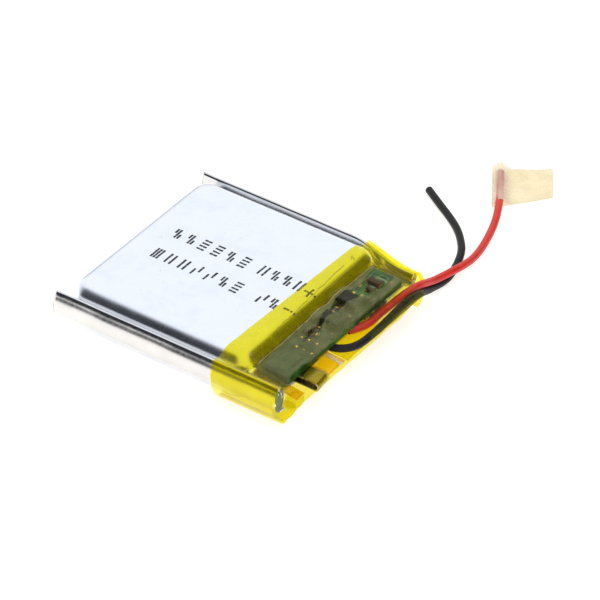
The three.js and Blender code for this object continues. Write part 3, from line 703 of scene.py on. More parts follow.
def drape(S, pull, iters, floor_only=None):
    Z = S.copy() + 0.02
    for it in range(iters):
        A = Z.copy()
        A[1:-1, 1:-1] = 0.25 * (Z[2:, 1:-1] + Z[:-2, 1:-1] + Z[1:-1, 2:] + Z[1:-1, :-2]) - pull
        A[0, :] = A[1, :]
        A[-1, :] = A[-2, :]
        A[:, 0] = Z[:, 0]
        A[:, -1] = Z[:, -1]
        Z = np.maximum(A, S)
    # one light smoothing so that the contact edge is not a hard corner
    for _ in range(2):
        Z[1:-1, 1:-1] = 0.4 * Z[1:-1, 1:-1] + 0.15 * (Z[2:, 1:-1] + Z[:-2, 1:-1] + Z[1:-1, 2:] + Z[1:-1, :-2])
    return Z


ZF = drape(S, 0.0035, 900)


def bil(Z, x, y):
    fx = min(max((x - GX[0]) / 0.11, 0), len(GX) - 1.001)
    fy = min(max((y - GY[0]) / 0.11, 0), len(GY) - 1.001)
    i, j = int(fx), int(fy)
    u, v = fx - i, fy - j
    return (Z[i, j] * (1 - u) + Z[i + 1, j] * u) * (1 - v) + (Z[i, j + 1] * (1 - u) + Z[i + 1, j + 1] * u) * v


# ------------------------------------------------------------------ yellow tape, upper part
def xl(y):
    return 20.45 + 0.95 * (y + 13.0) / 26.0 + 0.05 * nz(0, y, 2, 0.5)


def xr(y):
    mid = 24.38
    front = 28.72
    backv = 27.9
    return mid + (front - mid) * float(sm(-10.15, -10.55, y)) + (backv - mid) * float(sm(10.45, 10.9, y))


ny, nx = 240, 70
G = np.zeros((nx, ny, 3))
for j in range(ny):
    y = -13.3 + 26.6 * j / (ny - 1)
    for i in range(nx):
        f = i / (nx - 1)
        x = xl(y) + (xr(y) - xl(y)) * f
        z = bil(ZF, x, y) + 0.022
        # lengthwise crease and small ripples
        cre = abs(x - (22.55 + 0.02 * y + 0.12 * nz(0, y, 0, 0.35)))
        z += 0.035 * math.exp(-(cre / 0.09) ** 2) * (0.6 + 0.8 * abs(nz(x, y, 4, 0.8)))
        z += 0.012 * nz(x, y, 6, 1.6)
        G[i, j] = (x, y, min(z, 5.66))
sheet("yellow_tape_top", G, 0.025, M_YELLOW, "yellow_tape", replaces=("wrap_tape",))

def wire(name, pts, r, mat, slot, n=8):
    """Thin closed tube along pts."""
    pts = np.array(pts, float)
    tan = np.gradient(pts, axis=0)
    tan /= np.linalg.norm(tan, axis=1, keepdims=True)
    loops2 = []
    for p, t in zip(pts, tan):
        a = np.cross(t, (0, 0, 1.0))
        a /= max(np.linalg.norm(a), 1e-6)
        b = np.cross(a, t)
        loops2.append([tuple(p + r * (math.cos(2 * math.pi * i / n) * a + math.sin(2 * math.pi * i / n) * b)) for i in range(n)])
    return loft(name, loops2[::-1], mat, slot)


# painted shade: dark tubes along the tape's creases stand in for the shade that falls in the crease lines
cp = []
for k in range(90):
    y = -6.2 + 13.6 * k / 89
    x = 22.95 - 0.045 * (y + 6.2) + 0.10 * nz(0, y, 3, 0.8) + 0.04 * nz(0, y, 6, 2.6)
    cp.append((x, y, bil(ZF, x, y) + 0.055))
wire("tape_crease", cp, 0.026, M_CREASE_SHADE, "yellow_tape", n=6)
cp = []
for k in range(40):
    y = 3.2 + 5.6 * k / 39
    x = 23.25 - 0.03 * y + 0.10 * nz(0, y, 13, 0.8)
    cp.append((x, y, bil(ZF, x, y) + 0.055))
wire("tape_crease_short", cp, 0.020, M_CREASE_SHADE, "yellow_tape", n=6)

# ------------------------------------------------------------------ yellow tape, outer wall and underside
SIDE = [(-13.02, 5.20), (-13.22, 5.15), (-13.5, 4.8), (-13.74, 4.2), (-13.84, 3.4), (-13.76, 2.6),
        (-13.52, 1.7), (-13.2, 0.95), (-12.9, 0.42), (-12.5, 0.12), (-11.9, 0.035)]
front = catmull(SIDE, 8)
LOWB = [(13.02, 3.30), (13.25, 3.36), (13.5, 3.3), (13.74, 3.0), (13.84, 2.6), (13.78, 2.1),
        (13.56, 1.5), (13.25, 0.9), (12.95, 0.42), (12.5, 0.12), (11.9, 0.035)]
NS = 50
fr = resample(front, NS)
bk = fr.copy()
bk[:, 0] *= -1
lo = resample(catmull(LOWB, 8), NS)


def wall_x1(y, z, side):
    e = 28.78 + 0.10 * nz(y, z, 1, 0.9)
    if side > 0:
        e = 28.75 + 0.12 * nz(y, z, 2, 0.7)
    return e


for side, nm in ((-1, "front"), (1, "back")):
    nx = 90
    G = np.zeros((nx, NS, 3))
    for i in range(nx):
        for j in range(NS):
            f = i / (nx - 1)
            x0 = xl(side * 13.0)
            x1 = wall_x1(0, fr[j, 1], side)
            x = x0 + (x1 - x0) * f
            if side < 0:
                y, z = fr[j]
                # the wall relaxes beyond the seal's end
                e = float(sm(27.6, 28.9, x))
                y += 0.15 * e * math.sin(math.pi * j / (NS - 1))
            else:
                k = float(sm(20.5, 27.2, x))
                y, z = bk[j] * (1 - k) + lo[j] * k
                if x > 27.9:
                    z = z * (1 - 0.35 * float(sm(27.9, 28.7, x)) * (1 - j / (NS - 1)))
            w = math.sin(math.pi * min(1.0, j / (NS - 1) * 1.1))
            y += side * w * (0.05 * nz(x, z, 3 * side, 0.8) + 0.02 * nz(x, z, 8, 2.2))
            G[i, j] = (x, y, max(z, 0.035))
    sheet("yellow_tape_%s_wall" % nm, G, 0.03, M_YELLOW, "yellow_tape", flip=(side > 0))

# underside and the margin that runs out past the terrace
ny, nx = 220, 60
G = np.zeros((nx, ny, 3))
for j in range(ny):
    y = -12.2 + 24.4 * j / (ny - 1)
    edge = 28.42 + 0.16 * nz(0, y, 4, 0.22) + 0.05 * nz(0, y, 6, 1.1) + 0.25 * float(sm(-8.0, -12, y)) - 0.35 * float(sm(9, 12, y))
    for i in range(nx):
        f = i / (nx - 1)
        x = xl(y) + (edge - xl(y)) * f
        z = 0.035 + 0.06 * float(sm(26.8, 28.4, x)) * (0.6 + nz(x, y, 9, 0.7))
        G[i, j] = (x, y, max(z, 0.03))
sheet("yellow_tape_underside", G, 0.028, M_YELLOW, "yellow_tape")

# ------------------------------------------------------------------ front corner of the tape
# Skin over the end of the folded front seal; its dark olive-grey colour is painted shade for the hollow inside the
# seal's open end.
cy, cz, ry, rz = -13.05, 3.52, 0.66, 1.45
rows = []
for k in range(7):
    r = 1 - k / 6.0
    rows.append([(28.76 + 0.10 * (1 - r) - 0.02 * k + 0.03 * nz(k, i, 0, 0.6), cy + ry * max(r, 0.02) * math.cos(2 * math.pi * i / 40) + 0.10 * math.sin(2 * math.pi * i / 40) * r,
                  cz + rz * max(r, 0.02) * math.sin(2 * math.pi * i / 40)) for i in range(40)])
rows2 = [[(x - 0.16, y, z) for x, y, z in r] for r in rows[::-1]]
loft("seal_end_painted_shade", [r for r in rows2 + rows], M_ENDSKIN_SHADE, "clear_tape")


def flap(name, pts, z0, lift, mat, th=0.03, seed=0.0):
    """Flat tape flap on the floor with a rounded outline, as a fan of rings round its middle."""
    c = np.mean(np.array(pts), 0)
    out = resample(catmull(list(pts) + [pts[0]], 8)[:, :2] if False else catmull([np.array(p) for p in list(pts) + [pts[0]]], 8), 64)[:-1]
    R = 8
    top, verts, faces = [], [], []
    for layer in (0, 1):
        for k in range(R):
            f = 0.04 + 0.96 * k / (R - 1)
            for p in out:
                x, y = c + (p - c) * f
                z = z0 + lift * f * f * (0.5 + nz(x, y, seed, 0.6)) + layer * th
                verts.append((x, y, max(z, 0.01)))
    n = len(out)
    for k in range(R - 1):
        for i in range(n):
            a, b = k * n + i, k * n + (i + 1) % n
            faces.append((b, a, a + n, b + n))
            o = R * n
            faces.append((o + a, o + b, o + b + n, o + a + n))
    o = R * n
    for i in range(n):
        a, b = (R - 1) * n + i, (R - 1) * n + (i + 1) % n
        faces.append((b, a, o + a, o + b))
    faces.append(tuple(range(n)))
    faces.append(tuple(o + i for i in reversed(range(n))))
    return build(name, verts, faces, mat, "yellow_tape")


flap("tape_flap_front", [(26.2, -10.9), (27.0, -11.85), (27.86, -12.15), (28.5, -11.85), (28.75, -11.0), (28.35, -9.6), (27.3, -9.0), (26.3, -9.6)], 0.11, 0.05, M_YELLOW, seed=2.0)
flap("tape_flap_side", [(26.9, -9.8), (26.4, -8.5), (26.7, -7.4), (27.7, -7.5), (28.4, -8.3), (28.6, -9.2), (28.3, -9.9), (27.6, -10.2)], 0.20, 0.10, M_YELLOW, seed=5.0)

# ------------------------------------------------------------------ terrace insulation, orange
def orange_patch(name, x0, x1, y0, y1, z, mat, th=0.05, amp=0.06, nx=14, ny=30, edge=0.08, slope=0.0):
    G = np.zeros((nx, ny, 3))
    for i in range(nx):
        for j in range(ny):
            u, v = i / (nx - 1), j / (ny - 1)
            x = x0 + (x1 - x0) * u + edge * nz(u, v * 5, 3, 1.3) * (1 if u > 0.5 else 0)
            y = y0 + (y1 - y0) * v
            G[i, j] = (x, y, z - slope * u * u + amp * nz(x, y, z, 0.8))
    return sheet(name, G, th, mat, "orange_tape")


orange_patch("orange_tape_middle", 24.3, 29.35, -5.9, -2.3, 2.40, M_ORANGE, slope=0.30)
orange_patch("orange_tape_front", 24.3, 28.9, -10.3, -8.9, 2.30, M_ORANGE, slope=0.45)
orange_patch("orange_leaf", 24.4, 29.55, -2.1, 4.9, 2.38, M_LEAF, slope=0.25, amp=0.08)
orange_patch("orange_tape_back", 24.3, 27.0, 5.0, 10.3, 2.38, M_ORANGE)
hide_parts("terrace_insulation")
# clear film fold standing between the orange patches
G = np.zeros((24, 10, 3))
for i in range(24):
    for j in range(10):
        u, v = i / 23, j / 9
        G[i, j] = (27.6 + 2.0 * u, -2.75 - 0.55 * v + 0.1 * nz(u, v, 2, 2.0), 2.52 - 0.35 * u * u + 0.35 * math.sin(math.pi * v) * (1 - 0.7 * u))
sheet("clear_film_fold", G, 0.03, M_SKIRT, "clear_tape")

# ------------------------------------------------------------------ tabs
def tab_mesh(name, y, fold_x, end_x, w, mat, slot, rep, skew=0.0, zc=2.05, r=0.56, twist=0.0):
    line = [(22.6, zc), (fold_x - 0.9, zc), (fold_x - 0.3, zc - 0.02)]
    for k in range(9):
        a = math.radians(-90 + 180 * k / 8)
        line.append((fold_x + r * math.cos(a), zc + r + r * math.sin(a)))
    line += [(fold_x - 0.5, zc + 2 * r + 0.02), (end_x, zc + 2 * r + 0.03)]
    L = resample(np.array(line), 60)
    G = np.zeros((60, 14, 3))
    for i in range(60):
        for j in range(14):
            v = j / 13 - 0.5
            x, z = L[i]
            G[i, j] = (x + skew * v * float(sm(24, fold_x, x)), y + v * w, z + 0.015 * nz(x, v * 3, y, 1.4) + twist * v)
    return sheet(name, G, 0.1, mat, slot, replaces=rep)


tab_mesh("negative_tab_strip", -7.2, 29.55, 25.2, 2.1, M_NICKEL, "nickel", ("negative_tab",), skew=-0.25, zc=2.18, r=0.48)
def tab_cover(name, y, fold_x, w, x_in, mat):
    line = []
    for k in range(17):
        a = math.radians(-100 + 190 * k / 16)
        line.append((fold_x + 0.62 * math.cos(a), 2.68 + 0.60 * math.sin(a)))
    line += [(fold_x - 0.5, 3.30), (x_in, 3.31)]
    L = resample(np.array(line), 44)
    G = np.zeros((44, 20, 3))
    for i in range(44):
        for j in range(20):
            v = j / 19 - 0.5
            G[i, j] = (L[i][0] - 0.25 * v + 0.03 * nz(i * 0.2, v * 3, y, 1.0), y + v * w, L[i][1] + 0.03 * nz(i * 0.15, v * 3, 2, 1.2))
    return sheet(name, G, 0.03, mat, "yellow_tape")


tab_cover("tab_fold_cover", -7.15, 29.55, 2.25, 28.0, M_YELLOW_DEEP)
tab_mesh("positive_tab_strip", 6.5, 27.2, 25.2, 2.4, M_ALU, "aluminium_tab", ("positive_tab",))

# ------------------------------------------------------------------ board
SK = math.radians(-2.0)   # the board sits turned by two degrees; this turn is set here but not applied
BC = (26.02, 0.15)


def onb(x, y):
    dx, dy = x - BC[0], y - BC[1]
    c, s = math.cos(-SK * 0), math.sin(-SK * 0)
    return (x, y)


outline = []
for cx, cy, a0 in ((27.72, -10.02, -90), (27.66, 10.22, 0), (24.28, 10.30, 90), (24.25, -9.42, 180)):
    for k in range(6):
        a = math.radians(a0 + 90 * k / 5)
        outline.append((cx + 0.13 * math.cos(a), cy + 0.13 * math.sin(a)))
loft("board_core", [[(x, y, z) for x, y in outline] for z in (3.42, 3.46, 4.10, 4.15)], M_BOARD, "board_laminate", replaces=("pcm_board",))
bpy.data.objects["board_core"].data.polygons.foreach_set("use_smooth", [False] * len(bpy.data.objects["board_core"].data.polygons))

rnd = random.Random(7)
tracks = []
for x0, y0, x1, y1, w in [(24.55, -9.3, 24.55, -5.2, 0.22), (27.4, -9.5, 27.4, -4.6, 0.3), (25.2, -9.0, 25.2, -6.6, 0.5), (26.4, -9.2, 26.4, -6.3, 0.9),
                          (25.5, -2.0, 27.3, -2.0, 0.2), (24.7, 2.2, 27.3, 2.2, 0.25), (24.5, -4.6, 24.5, 2.0, 0.16), (27.55, -3.0, 27.55, 3.2, 0.2),
                          (24.6, 5.9, 24.6, 9.9, 0.2), (27.3, 5.8, 27.3, 9.9, 0.4), (25.2, 9.2, 27.0, 9.2, 0.35), (25.4, 5.9, 26.9, 5.9, 0.2), (25.0, -3.2, 27.2, -3.2, 0.18)]:
    L = math.hypot(x1 - x0, y1 - y0)
    tracks.append((((x0 + x1) / 2, (y0 + y1) / 2, 4.155), (L, w, 0.03), math.atan2(y1 - y0, x1 - x0)))
boxes("board_tracks", tracks, M_TRACK, "board_laminate", bevel=0.01)

pads = []
for (x, y) in [(24.64, 3.11), (25.66, 3.03), (26.68, 2.96), (25.16, 1.56), (26.23, 1.42), (27.2, 1.41)]:
    pads.append(((x, y, 4.17), (0.42, 0.50, 0.05), rnd.uniform(-0.1, 0.1)))
for (x, y) in [(25.0, -3.86), (25.92, -3.91), (26.98, -3.94), (25.48, -5.5), (26.4, -5.45), (27.46, -5.58)]:
    pads.append(((x, y, 4.17), (0.40, 0.34, 0.06), rnd.uniform(-0.3, 0.3)))
for (x, y) in [(24.9, 5.6), (25.9, 5.6), (26.8, 5.6), (25.1, -1.2), (26.05, -1.2), (27.0, -1.2)]:
    pads.append(((x, y, 4.17), (0.36, 0.46, 0.05), 0))
pads += [((25.91, -2.45, 4.17), (0.55, 0.45, 0.06), 0.2), ((27.25, -0.1, 4.17), (0.34, 0.5, 0.05), 0), ((27.3, 9.2, 4.17), (0.5, 0.9, 0.05), 0.1),
         ((24.75, 7.0, 4.17), (0.34, 0.5, 0.05), 0)]
boxes("board_pads", pads, M_GOLD, "solder", bevel=0.015)

# pin tips with solder on the two rows that face each other
fillets = []
for (x, y) in [(24.64, 3.11), (25.66, 3.03), (26.68, 2.96), (25.16, 1.56), (26.23, 1.42), (27.2, 1.41), (25.0, -3.86), (25.92, -3.91), (26.98, -3.94), (25.48, -5.5), (26.4, -5.45), (27.46, -5.58)]:
    fillets.append(((x, y, 4.19), rnd.uniform(0.13, 0.19), rnd.uniform(0.10, 0.2)))
discs("solder_fillets", fillets, M_GOLD, "solder", n=12)

vias = [((x, y, 4.14), 0.13, 0.03) for x, y in [(24.9, -8.6), (25.9, -8.9), (26.9, -8.4), (27.2, -7.1), (24.8, -7.2), (26.0, 9.75), (24.8, 9.6), (27.2, 4.9), (24.6, -0.4)]]
discs("board_vias", vias, M_CHIP, "board_laminate", n=14)

silk = []


def outline_box(cx, cy, w, h, ang=0.0, t=0.055):
    c, s = math.cos(ang), math.sin(ang)
    for dx, dy, sx, sy in ((0, -h / 2, w, t), (0, h / 2, w, t), (-w / 2, 0, t, h), (w / 2, 0, t, h)):
        silk.append(((cx + dx * c - dy * s, cy + dx * s + dy * c, 4.165), (sx, sy, 0.02), ang))


outline_box(25.95, 8.1, 2.1, 1.25)
outline_box(27.05, 7.2, 0.95, 1.3)
outline_box(26.3, 6.7, 1.5, 0.85)
outline_box(24.95, -2.75, 0.85, 1.5)
outline_box(26.25, -4.7, 3.0, 2.5)
outline_box(26.0, 9.55, 1.0, 0.5)
boxes("board_silkscreen", silk, M_SILK, "board_laminate")

# raised inner edge of the film along the board
cp = []
for k in range(120):
    y = -10.2 + 20.6 * k / 119
    x = 24.05 + 0.05 * nz(0, y, 21, 0.7)
    cp.append((x, y, max(bil(ZF, x, y) + 0.05, 4.24) + 0.04))
wire("film_inner_edge", cp, 0.045, M_EDGE, "yellow_tape", n=6)
# bright pins and pads round the chips
PINS = [(24.98, 2.38, 4.20), (24.57, 3.15, 4.20), (26.18, 1.55, 4.20), (25.96, -0.50, 4.70), (27.45, 0.30, 4.20), (26.95, 1.95, 4.20),
        (25.45, -1.45, 4.20), (27.2, -1.6, 4.20)]
cube = []
for k, (px, py, pz) in enumerate(PINS):
    z0 = pz + 0.012
    cube.append(((px, py, z0 + 0.035), (0.30 + 0.05 * nz(k, 0, 1, 1.0), 0.19, 0.07)))
boxes("chip_pins", [(c, d, 0) for c, d in cube], M_GOLD, "solder")
# painted shade: a near-black patch on the board beside the chips stands in for the shadow in the gap where the film
# lifts off
shade_path = catmull([(25.5, 5.4), (25.35, 4.4), (25.0, 2.6), (25.2, 1.1), (25.35, -0.8), (25.5, -2.5), (25.6, -4.4)], 8)
shade_width = np.interp(np.linspace(0, 1, len(shade_path)), [0, 0.15, 0.35, 0.6, 0.85, 1], [0.35, 0.75, 0.52, 0.34, 0.36, 0.04])
shade_tangent = np.gradient(shade_path, axis=0)
shade_tangent /= np.linalg.norm(shade_tangent, axis=1, keepdims=True)
G = np.zeros((len(shade_path), 9, 3))
for i in range(len(shade_path)):
    for j in range(9):
        v = j / 4 - 1
        w = shade_width[i] * (1 + 0.25 * nz(i * 0.2, v, 1, 1.0))
        G[i, j] = (shade_path[i][0] - shade_tangent[i][1] * w * v, shade_path[i][1] + shade_tangent[i][0] * w * v, 4.165 + 0.06 * (1 - v * v))
sheet("painted_shade_patch", G, 0.012, M_SHADE_PATCH, "chip_body")

# chip details: pin-one dimples; the pin feet in gold tone are the chip pins above
discs("chip_marks", [((24.75, 4.50, 4.815), 0.12, 0.012), ((25.05, 0.65, 4.815), 0.12, 0.012)], M_CERAMIC, "chip_body", n=14)

# passive parts: end caps as separate pieces over the CAD bodies
caps = [((25.22, 8.05, 4.40), (0.17, 0.84, 0.40), 0), ((26.68, 8.05, 4.40), (0.17, 0.84, 0.40), 0),
        ((25.86, 6.72, 4.38), (0.13, 0.54, 0.36), 0), ((26.74, 6.72, 4.38), (0.13, 0.54, 0.36), 0),
        ((24.95, -3.19, 4.36), (0.54, 0.13, 0.32), 0), ((24.95, -2.31, 4.36), (0.54, 0.13, 0.32), 0)]
boxes("passive_end_caps", caps, M_CAP, "ceramic_part", bevel=0.04)

# ------------------------------------------------------------------ clear film over the board
def pt_seg(p, a, b):
    p, a, b = np.array(p), np.array(a), np.array(b)
    t = max(0, min(1, float((p - a) @ (b - a) / ((b - a) @ (b - a)))))
    return float(np.linalg.norm(p - a - (b - a) * t)), t


# path of the painted shade beside the chips; the film is kept clear along it so the dark patch shows
DARK = [((25.2, 9.6), 0.9), ((25.9, 8.2), 1.2), ((25.65, 6.4), 0.85), ((25.35, 4.3), 0.86), ((25.0, 2.5), 0.56), ((25.2, 1.0), 0.36), ((25.35, -0.9), 0.26), ((25.6, -2.8), 0.38), ((25.6, -4.6), 0.14)]


def haze(x, y):
    best = 9.0
    for (a, ra), (b, rb) in zip(DARK[:-1], DARK[1:]):
        d, t = pt_seg((x, y), a, b)
        best = min(best, d - (ra + (rb - ra) * t))
    # the back end of the board is bare except for its outer edge
    best = min(best, max(9.2 - y, x - (27.1 - 0.35 * (y - 9.2)), 0) if y > 7.0 else 9.0)
    best += 0.16 * nz(x, y, 0, 1.1) + 0.08 * nz(x, y, 3, 3.0)
    h = float(sm(-0.06, 0.12, best))
    for px, py, pz in PINS:
        # the film touches the pins and is clear there
        k = 4.88 - pz
        h *= 0.25 + 0.75 * float(sm(0.10, 0.30, math.hypot(x - px - 0.76 * k, y - py + 1.07 * k)))
    # thinner over the bare front end
    return h * (0.72 + 0.28 * float(sm(-6.2, -4.8, y)))


ny, nx = 300, 60
G = np.zeros((nx, ny, 3))
Hz = np.zeros((nx, ny))
for j in range(ny):
    y = -10.75 + 21.7 * j / (ny - 1)
    out = float(sm(0.2, 2.6, y))
    xo = 27.95 + 0.62 * out + 0.10 * nz(0, y, 7, 0.5) + 0.05 * nz(0, y, 9, 1.3) - 0.18 * float(sm(-6, -9, y)) - 0.5 * float(sm(9.6, 10.95, y))
    for i in range(nx):
        f = i / (nx - 1)
        xi = 23.92 + 0.06 * nz(0, y, 11, 0.6)
        x = xi + (xo - xi) * f
        z = bil(ZF, min(x, 27.75), y) + 0.03
        z = max(z, 4.22) if abs(y) < 10.3 and 24.3 < x < 27.8 else z
        if x > 27.8:
            z = min(z, 4.30) - 1.0 * (x - 27.8)
        z += 0.03 + 0.02 * nz(x, y, 2, 1.1) + 0.008 * nz(x, y, 5, 3.0)
        G[i, j] = (x, y, z)
        Hz[i, j] = haze(x, y) * (1.0 - float(sm(27.72, 28.0, x)) * float(sm(0.4, 1.6, y)))
sheet("board_cover_film", G, 0.03, M_COVER, "clear_tape", replaces=("board_cover_tape",), attrs={"haze": Hz})

# skirt of the same film hanging over the board's outer edge
G = np.zeros((26, 160, 3))
for j in range(160):
    y = -10.3 + 7.2 * j / 159
    dep = (0.62 + 0.25 * nz(0, y, 5, 0.5)) * float(sm(-3.1, -4.6, y)) + 0.03
    for i in range(26):
        f = i / 25
        G[i, j] = (28.02 + 0.22 * math.sin(math.pi * f) + 0.05 * nz(f, y, 6, 0.9), y, 4.12 - dep * f)
sheet("board_cover_skirt", G, 0.03, M_CLEAR, "clear_tape")

# ------------------------------------------------------------------ leads
RED = [(27.30, 1.20, 2.93), (27.62, 1.72, 2.93), (27.92, 2.30, 2.93), (28.18, 3.00, 2.93), (28.33, 3.85, 2.93), (28.32, 5.60, 2.92), (28.40, 7.85, 2.92), (28.52, 10.00, 2.92),
       (28.66, 11.40, 2.86), (28.74, 12.60, 2.60), (28.74, 14.10, 2.02), (28.80, 15.40, 1.62), (28.98, 16.70, 1.44), (29.24, 18.00, 1.38), (29.42, 19.50, 1.20), (29.32, 21.30, .84),
       (28.92, 23.60, .56), (28.34, 25.85, .48), (27.68, 27.95, .50), (26.86, 29.95, .56), (25.60, 32.35, .62), (24.02, 34.90, .62), (22.86, 36.70, .62)]
BLACK = [(26.95, -2.12, 2.93), (27.50, -2.06, 2.93), (28.02, -1.90, 2.93), (28.52, -1.60, 2.93), (29.00, -1.12, 2.93), (29.38, -.45, 2.93), (29.60, .45, 2.93), (29.68, 1.70, 2.93),
         (29.68, 3.20, 2.93), (29.62, 4.60, 2.93), (29.54, 6.00, 2.93), (29.46, 7.60, 2.93), (29.44, 9.20, 2.90), (29.38, 10.60, 2.62), (29.16, 12.00, 2.06), (28.90, 13.60, 1.30), (28.78, 15.20, .78),
         (28.80, 16.50, .52), (28.80, 17.70, .46), (28.50, 19.20, .46), (28.05, 20.70, .46), (27.30, 22.40, .46), (26.34, 23.74, .46), (24.90, 25.25, .46), (23.13, 26.57, .46), (20.60, 28.13, .46), (18.15, 29.66, .46)]
LEAD_D = 0.86


def lead(name, route, mat, node):
    line = catmull(route, 10)
    cu = bpy.data.curves.new(name, "CURVE")
    cu.dimensions = "3D"
    cu.bevel_depth = LEAD_D / 2 * 1e-3
    cu.bevel_resolution = 6
    cu.use_fill_caps = True
    sp = cu.splines.new("POLY")
    sp.points.add(len(line) - 1)
    for pt, p in zip(sp.points, line):
        pt.co = (*P(p), 1)
    sp.use_smooth = True
    cu.materials.append(mat)
    o = bpy.data.objects.new(name, cu)
    bpy.context.scene.collection.objects.link(o)
    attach(o, "root")
    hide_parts(node)
    L = float(np.sum(np.linalg.norm(np.diff(line, axis=0), axis=1))) * 1e-3
    return o, L


red, red_len = lead("red_lead_wire", RED, M_RED, "red_lead")
black, black_len = lead("black_lead_wire", BLACK, M_BLACK, "black_lead")
print("LEADS", round(red_len * 1000, 2), round(black_len * 1000, 2))

# ------------------------------------------------------------------ clear tape strip over the leads
G = np.zeros((34, 90, 3))
for j in range(90):
    y = 3.6 + 7.6 * j / 89
    for i in range(34):
        f = i / 33
        x = 28.05 + 2.0 * f + 0.05 * nz(0, y, 3, 0.7) * f
        z = 3.50 - 0.03 * math.sin(f * 6) + 0.015 * nz(x, y, 4, 1.0)
        if y > 9.6:
            z -= 0.10 * (y - 9.6) ** 1.6
        G[i, j] = (x, y, z)
sheet("lead_strip_film", G, 0.03, M_CLEAR, "clear_tape", replaces=("lead_cover_tape",))
G = np.zeros((30, 120, 3))
for j in range(120):
    y = 0.9 + 10.1 * j / 119
    top = float(sm(0.7, 2.6, y))
    dz = 0.10 * max(y - 9.6, 0.0) ** 1.6
    for i in range(30):
        f = i / 29
        x = 30.00 - 0.20 * (1 - top) + 0.30 * math.sin(f * 1.6) + 0.04 * nz(f, y, 3, 0.8)
        z = 3.46 - (0.25 + 0.20 * top) * f - dz + (1 - top) * -0.25
        G[i, j] = (min(x, 30.48), y, max(z, 0.8))
sheet("lead_strip_outer_edge", G, 0.03, M_OLIVE, "clear_tape", flip=True)

# ------------------------------------------------------------------ flag on the red lead
FA = np.array([25.24, 31.29])
FDIR = np.array([-3.93, 6.02]) / 7.19
FPER = np.array([FDIR[1], -FDIR[0]])


def hump(v):
    return 0.16 + 0.95 * math.exp(-(v / 0.75) ** 2)


sec = [(5.8 - 6.4 * k / 40, 0.05) for k in range(41)]
for k in range(1, 12):
    a = math.radians(-90 - 180 * k / 12)
    sec.append((-0.60 + 0.33 * math.cos(a), 0.05 + (hump(-0.60) - 0.05) * (0.5 + 0.5 * math.sin(a))))
sec += [(-0.60 + 6.4 * k / 60, hump(-0.60 + 6.4 * k / 60)) for k in range(61)]
Ls = resample(np.array(sec), 150)
G = np.zeros((150, 40, 3))
for i in range(150):
    for j in range(40):
        t = j / 39
        v, z = Ls[i]
        q = (v + 0.95) / 6.75
        s0, s1 = 1.85 * q, 7.19 - 0.09 * q
        along = s0 + (s1 - s0) * t + 0.06 * nz(v, 2, i > 75, 0.8)
        b = FA + FDIR * along + FPER * (v + 0.95)
        far = max(0.0, v - 1.0) / 4.8
        lift = 0.22 * far * max(0.0, 0.5 + nz(v * 0.4, t * 2, 3, 0.9))
        G[i, j] = (b[0], b[1], z + lift + 0.012 * nz(v, t * 6, 1, 0.8))
flag = sheet("flag_film", G, 0.035, M_FLAG, "flag_tape", flip=True, replaces=("lead_end_flag",))

# ------------------------------------------------------------------ printed marks
# Polarity signs and plain dot-and-dash ticks: no letters and no figures.
marks = []


def dash(x, y, dx, dy, w=0.27):
    L = math.hypot(dx, dy)
    n = max(1, int(round(L / 0.40)))
    for i in range(n):
        f = (i + 0.5) / n
        px, py = x + dx * (f - 0.5), y + dy * (f - 0.5)
        seg = L / n * 0.92
        marks.append(((px + rnd.uniform(-0.012, 0.012), py + rnd.uniform(-0.012, 0.012), body_top(px, py) + 0.006), (seg, w * rnd.uniform(0.9, 1.1), 0.012), math.atan2(dy, dx)))


# polarity marks
dash(22.25, 1.4, 1.5, 0, 0.24)
dash(22.25, 1.4, 0, 1.5, 0.24)
dash(22.25, -2.3, 1.5, 0, 0.24)
# rows of ticks, each cell a plain hatch of strokes
CELLS = [
    [(-0.36, 0, 0, 1.7), (0, 0, 0, 1.7), (0.36, 0, 0, 1.7)],
    [(-0.3, 0, 0, 1.7), (0.3, 0, 0, 1.7)],
    [(-0.3, -0.35, 0, 1.1), (0.3, 0.35, 0, 1.1)],
    [(0, -0.8, 0.95, 0), (0, -0.27, 0.95, 0), (0, 0.27, 0.95, 0), (0, 0.8, 0.95, 0)],
    [(-0.36, 0.4, 0, 0.8), (0, 0, 0, 1.6), (0.36, -0.4, 0, 0.8)],
]


def tick_row(x_from, x_to, y, n, seed):
    r = random.Random(seed)
    for i in range(n):
        x = x_from + (x_to - x_from) * (i / max(n - 1, 1))
        for cx, cy2, dx, dy in CELLS[r.randrange(len(CELLS))]:
            dash(x + cx, y + cy2, dx, dy, 0.25)


tick_row(20.7, 16.1, 1.7, 4, 3)
tick_row(13.6, 4.9, 1.7, 6, 11)
tick_row(20.3, 18.8, -2.3, 2, 5)
tick_row(15.5, 5.2, -2.3, 7, 9)
for dx, dy in ((0, 0), (0.16, 0.12), (-0.14, 0.2), (0.05, -0.22), (0.3, -0.05)):
    marks.append(((22.3 + dx, 9.0 + dy, body_top(22.3 + dx, 9.0 + dy) + 0.006), (0.12, 0.12, 0.012), 0.4))
boxes("printed_ticks", marks, M_INK, "ink")

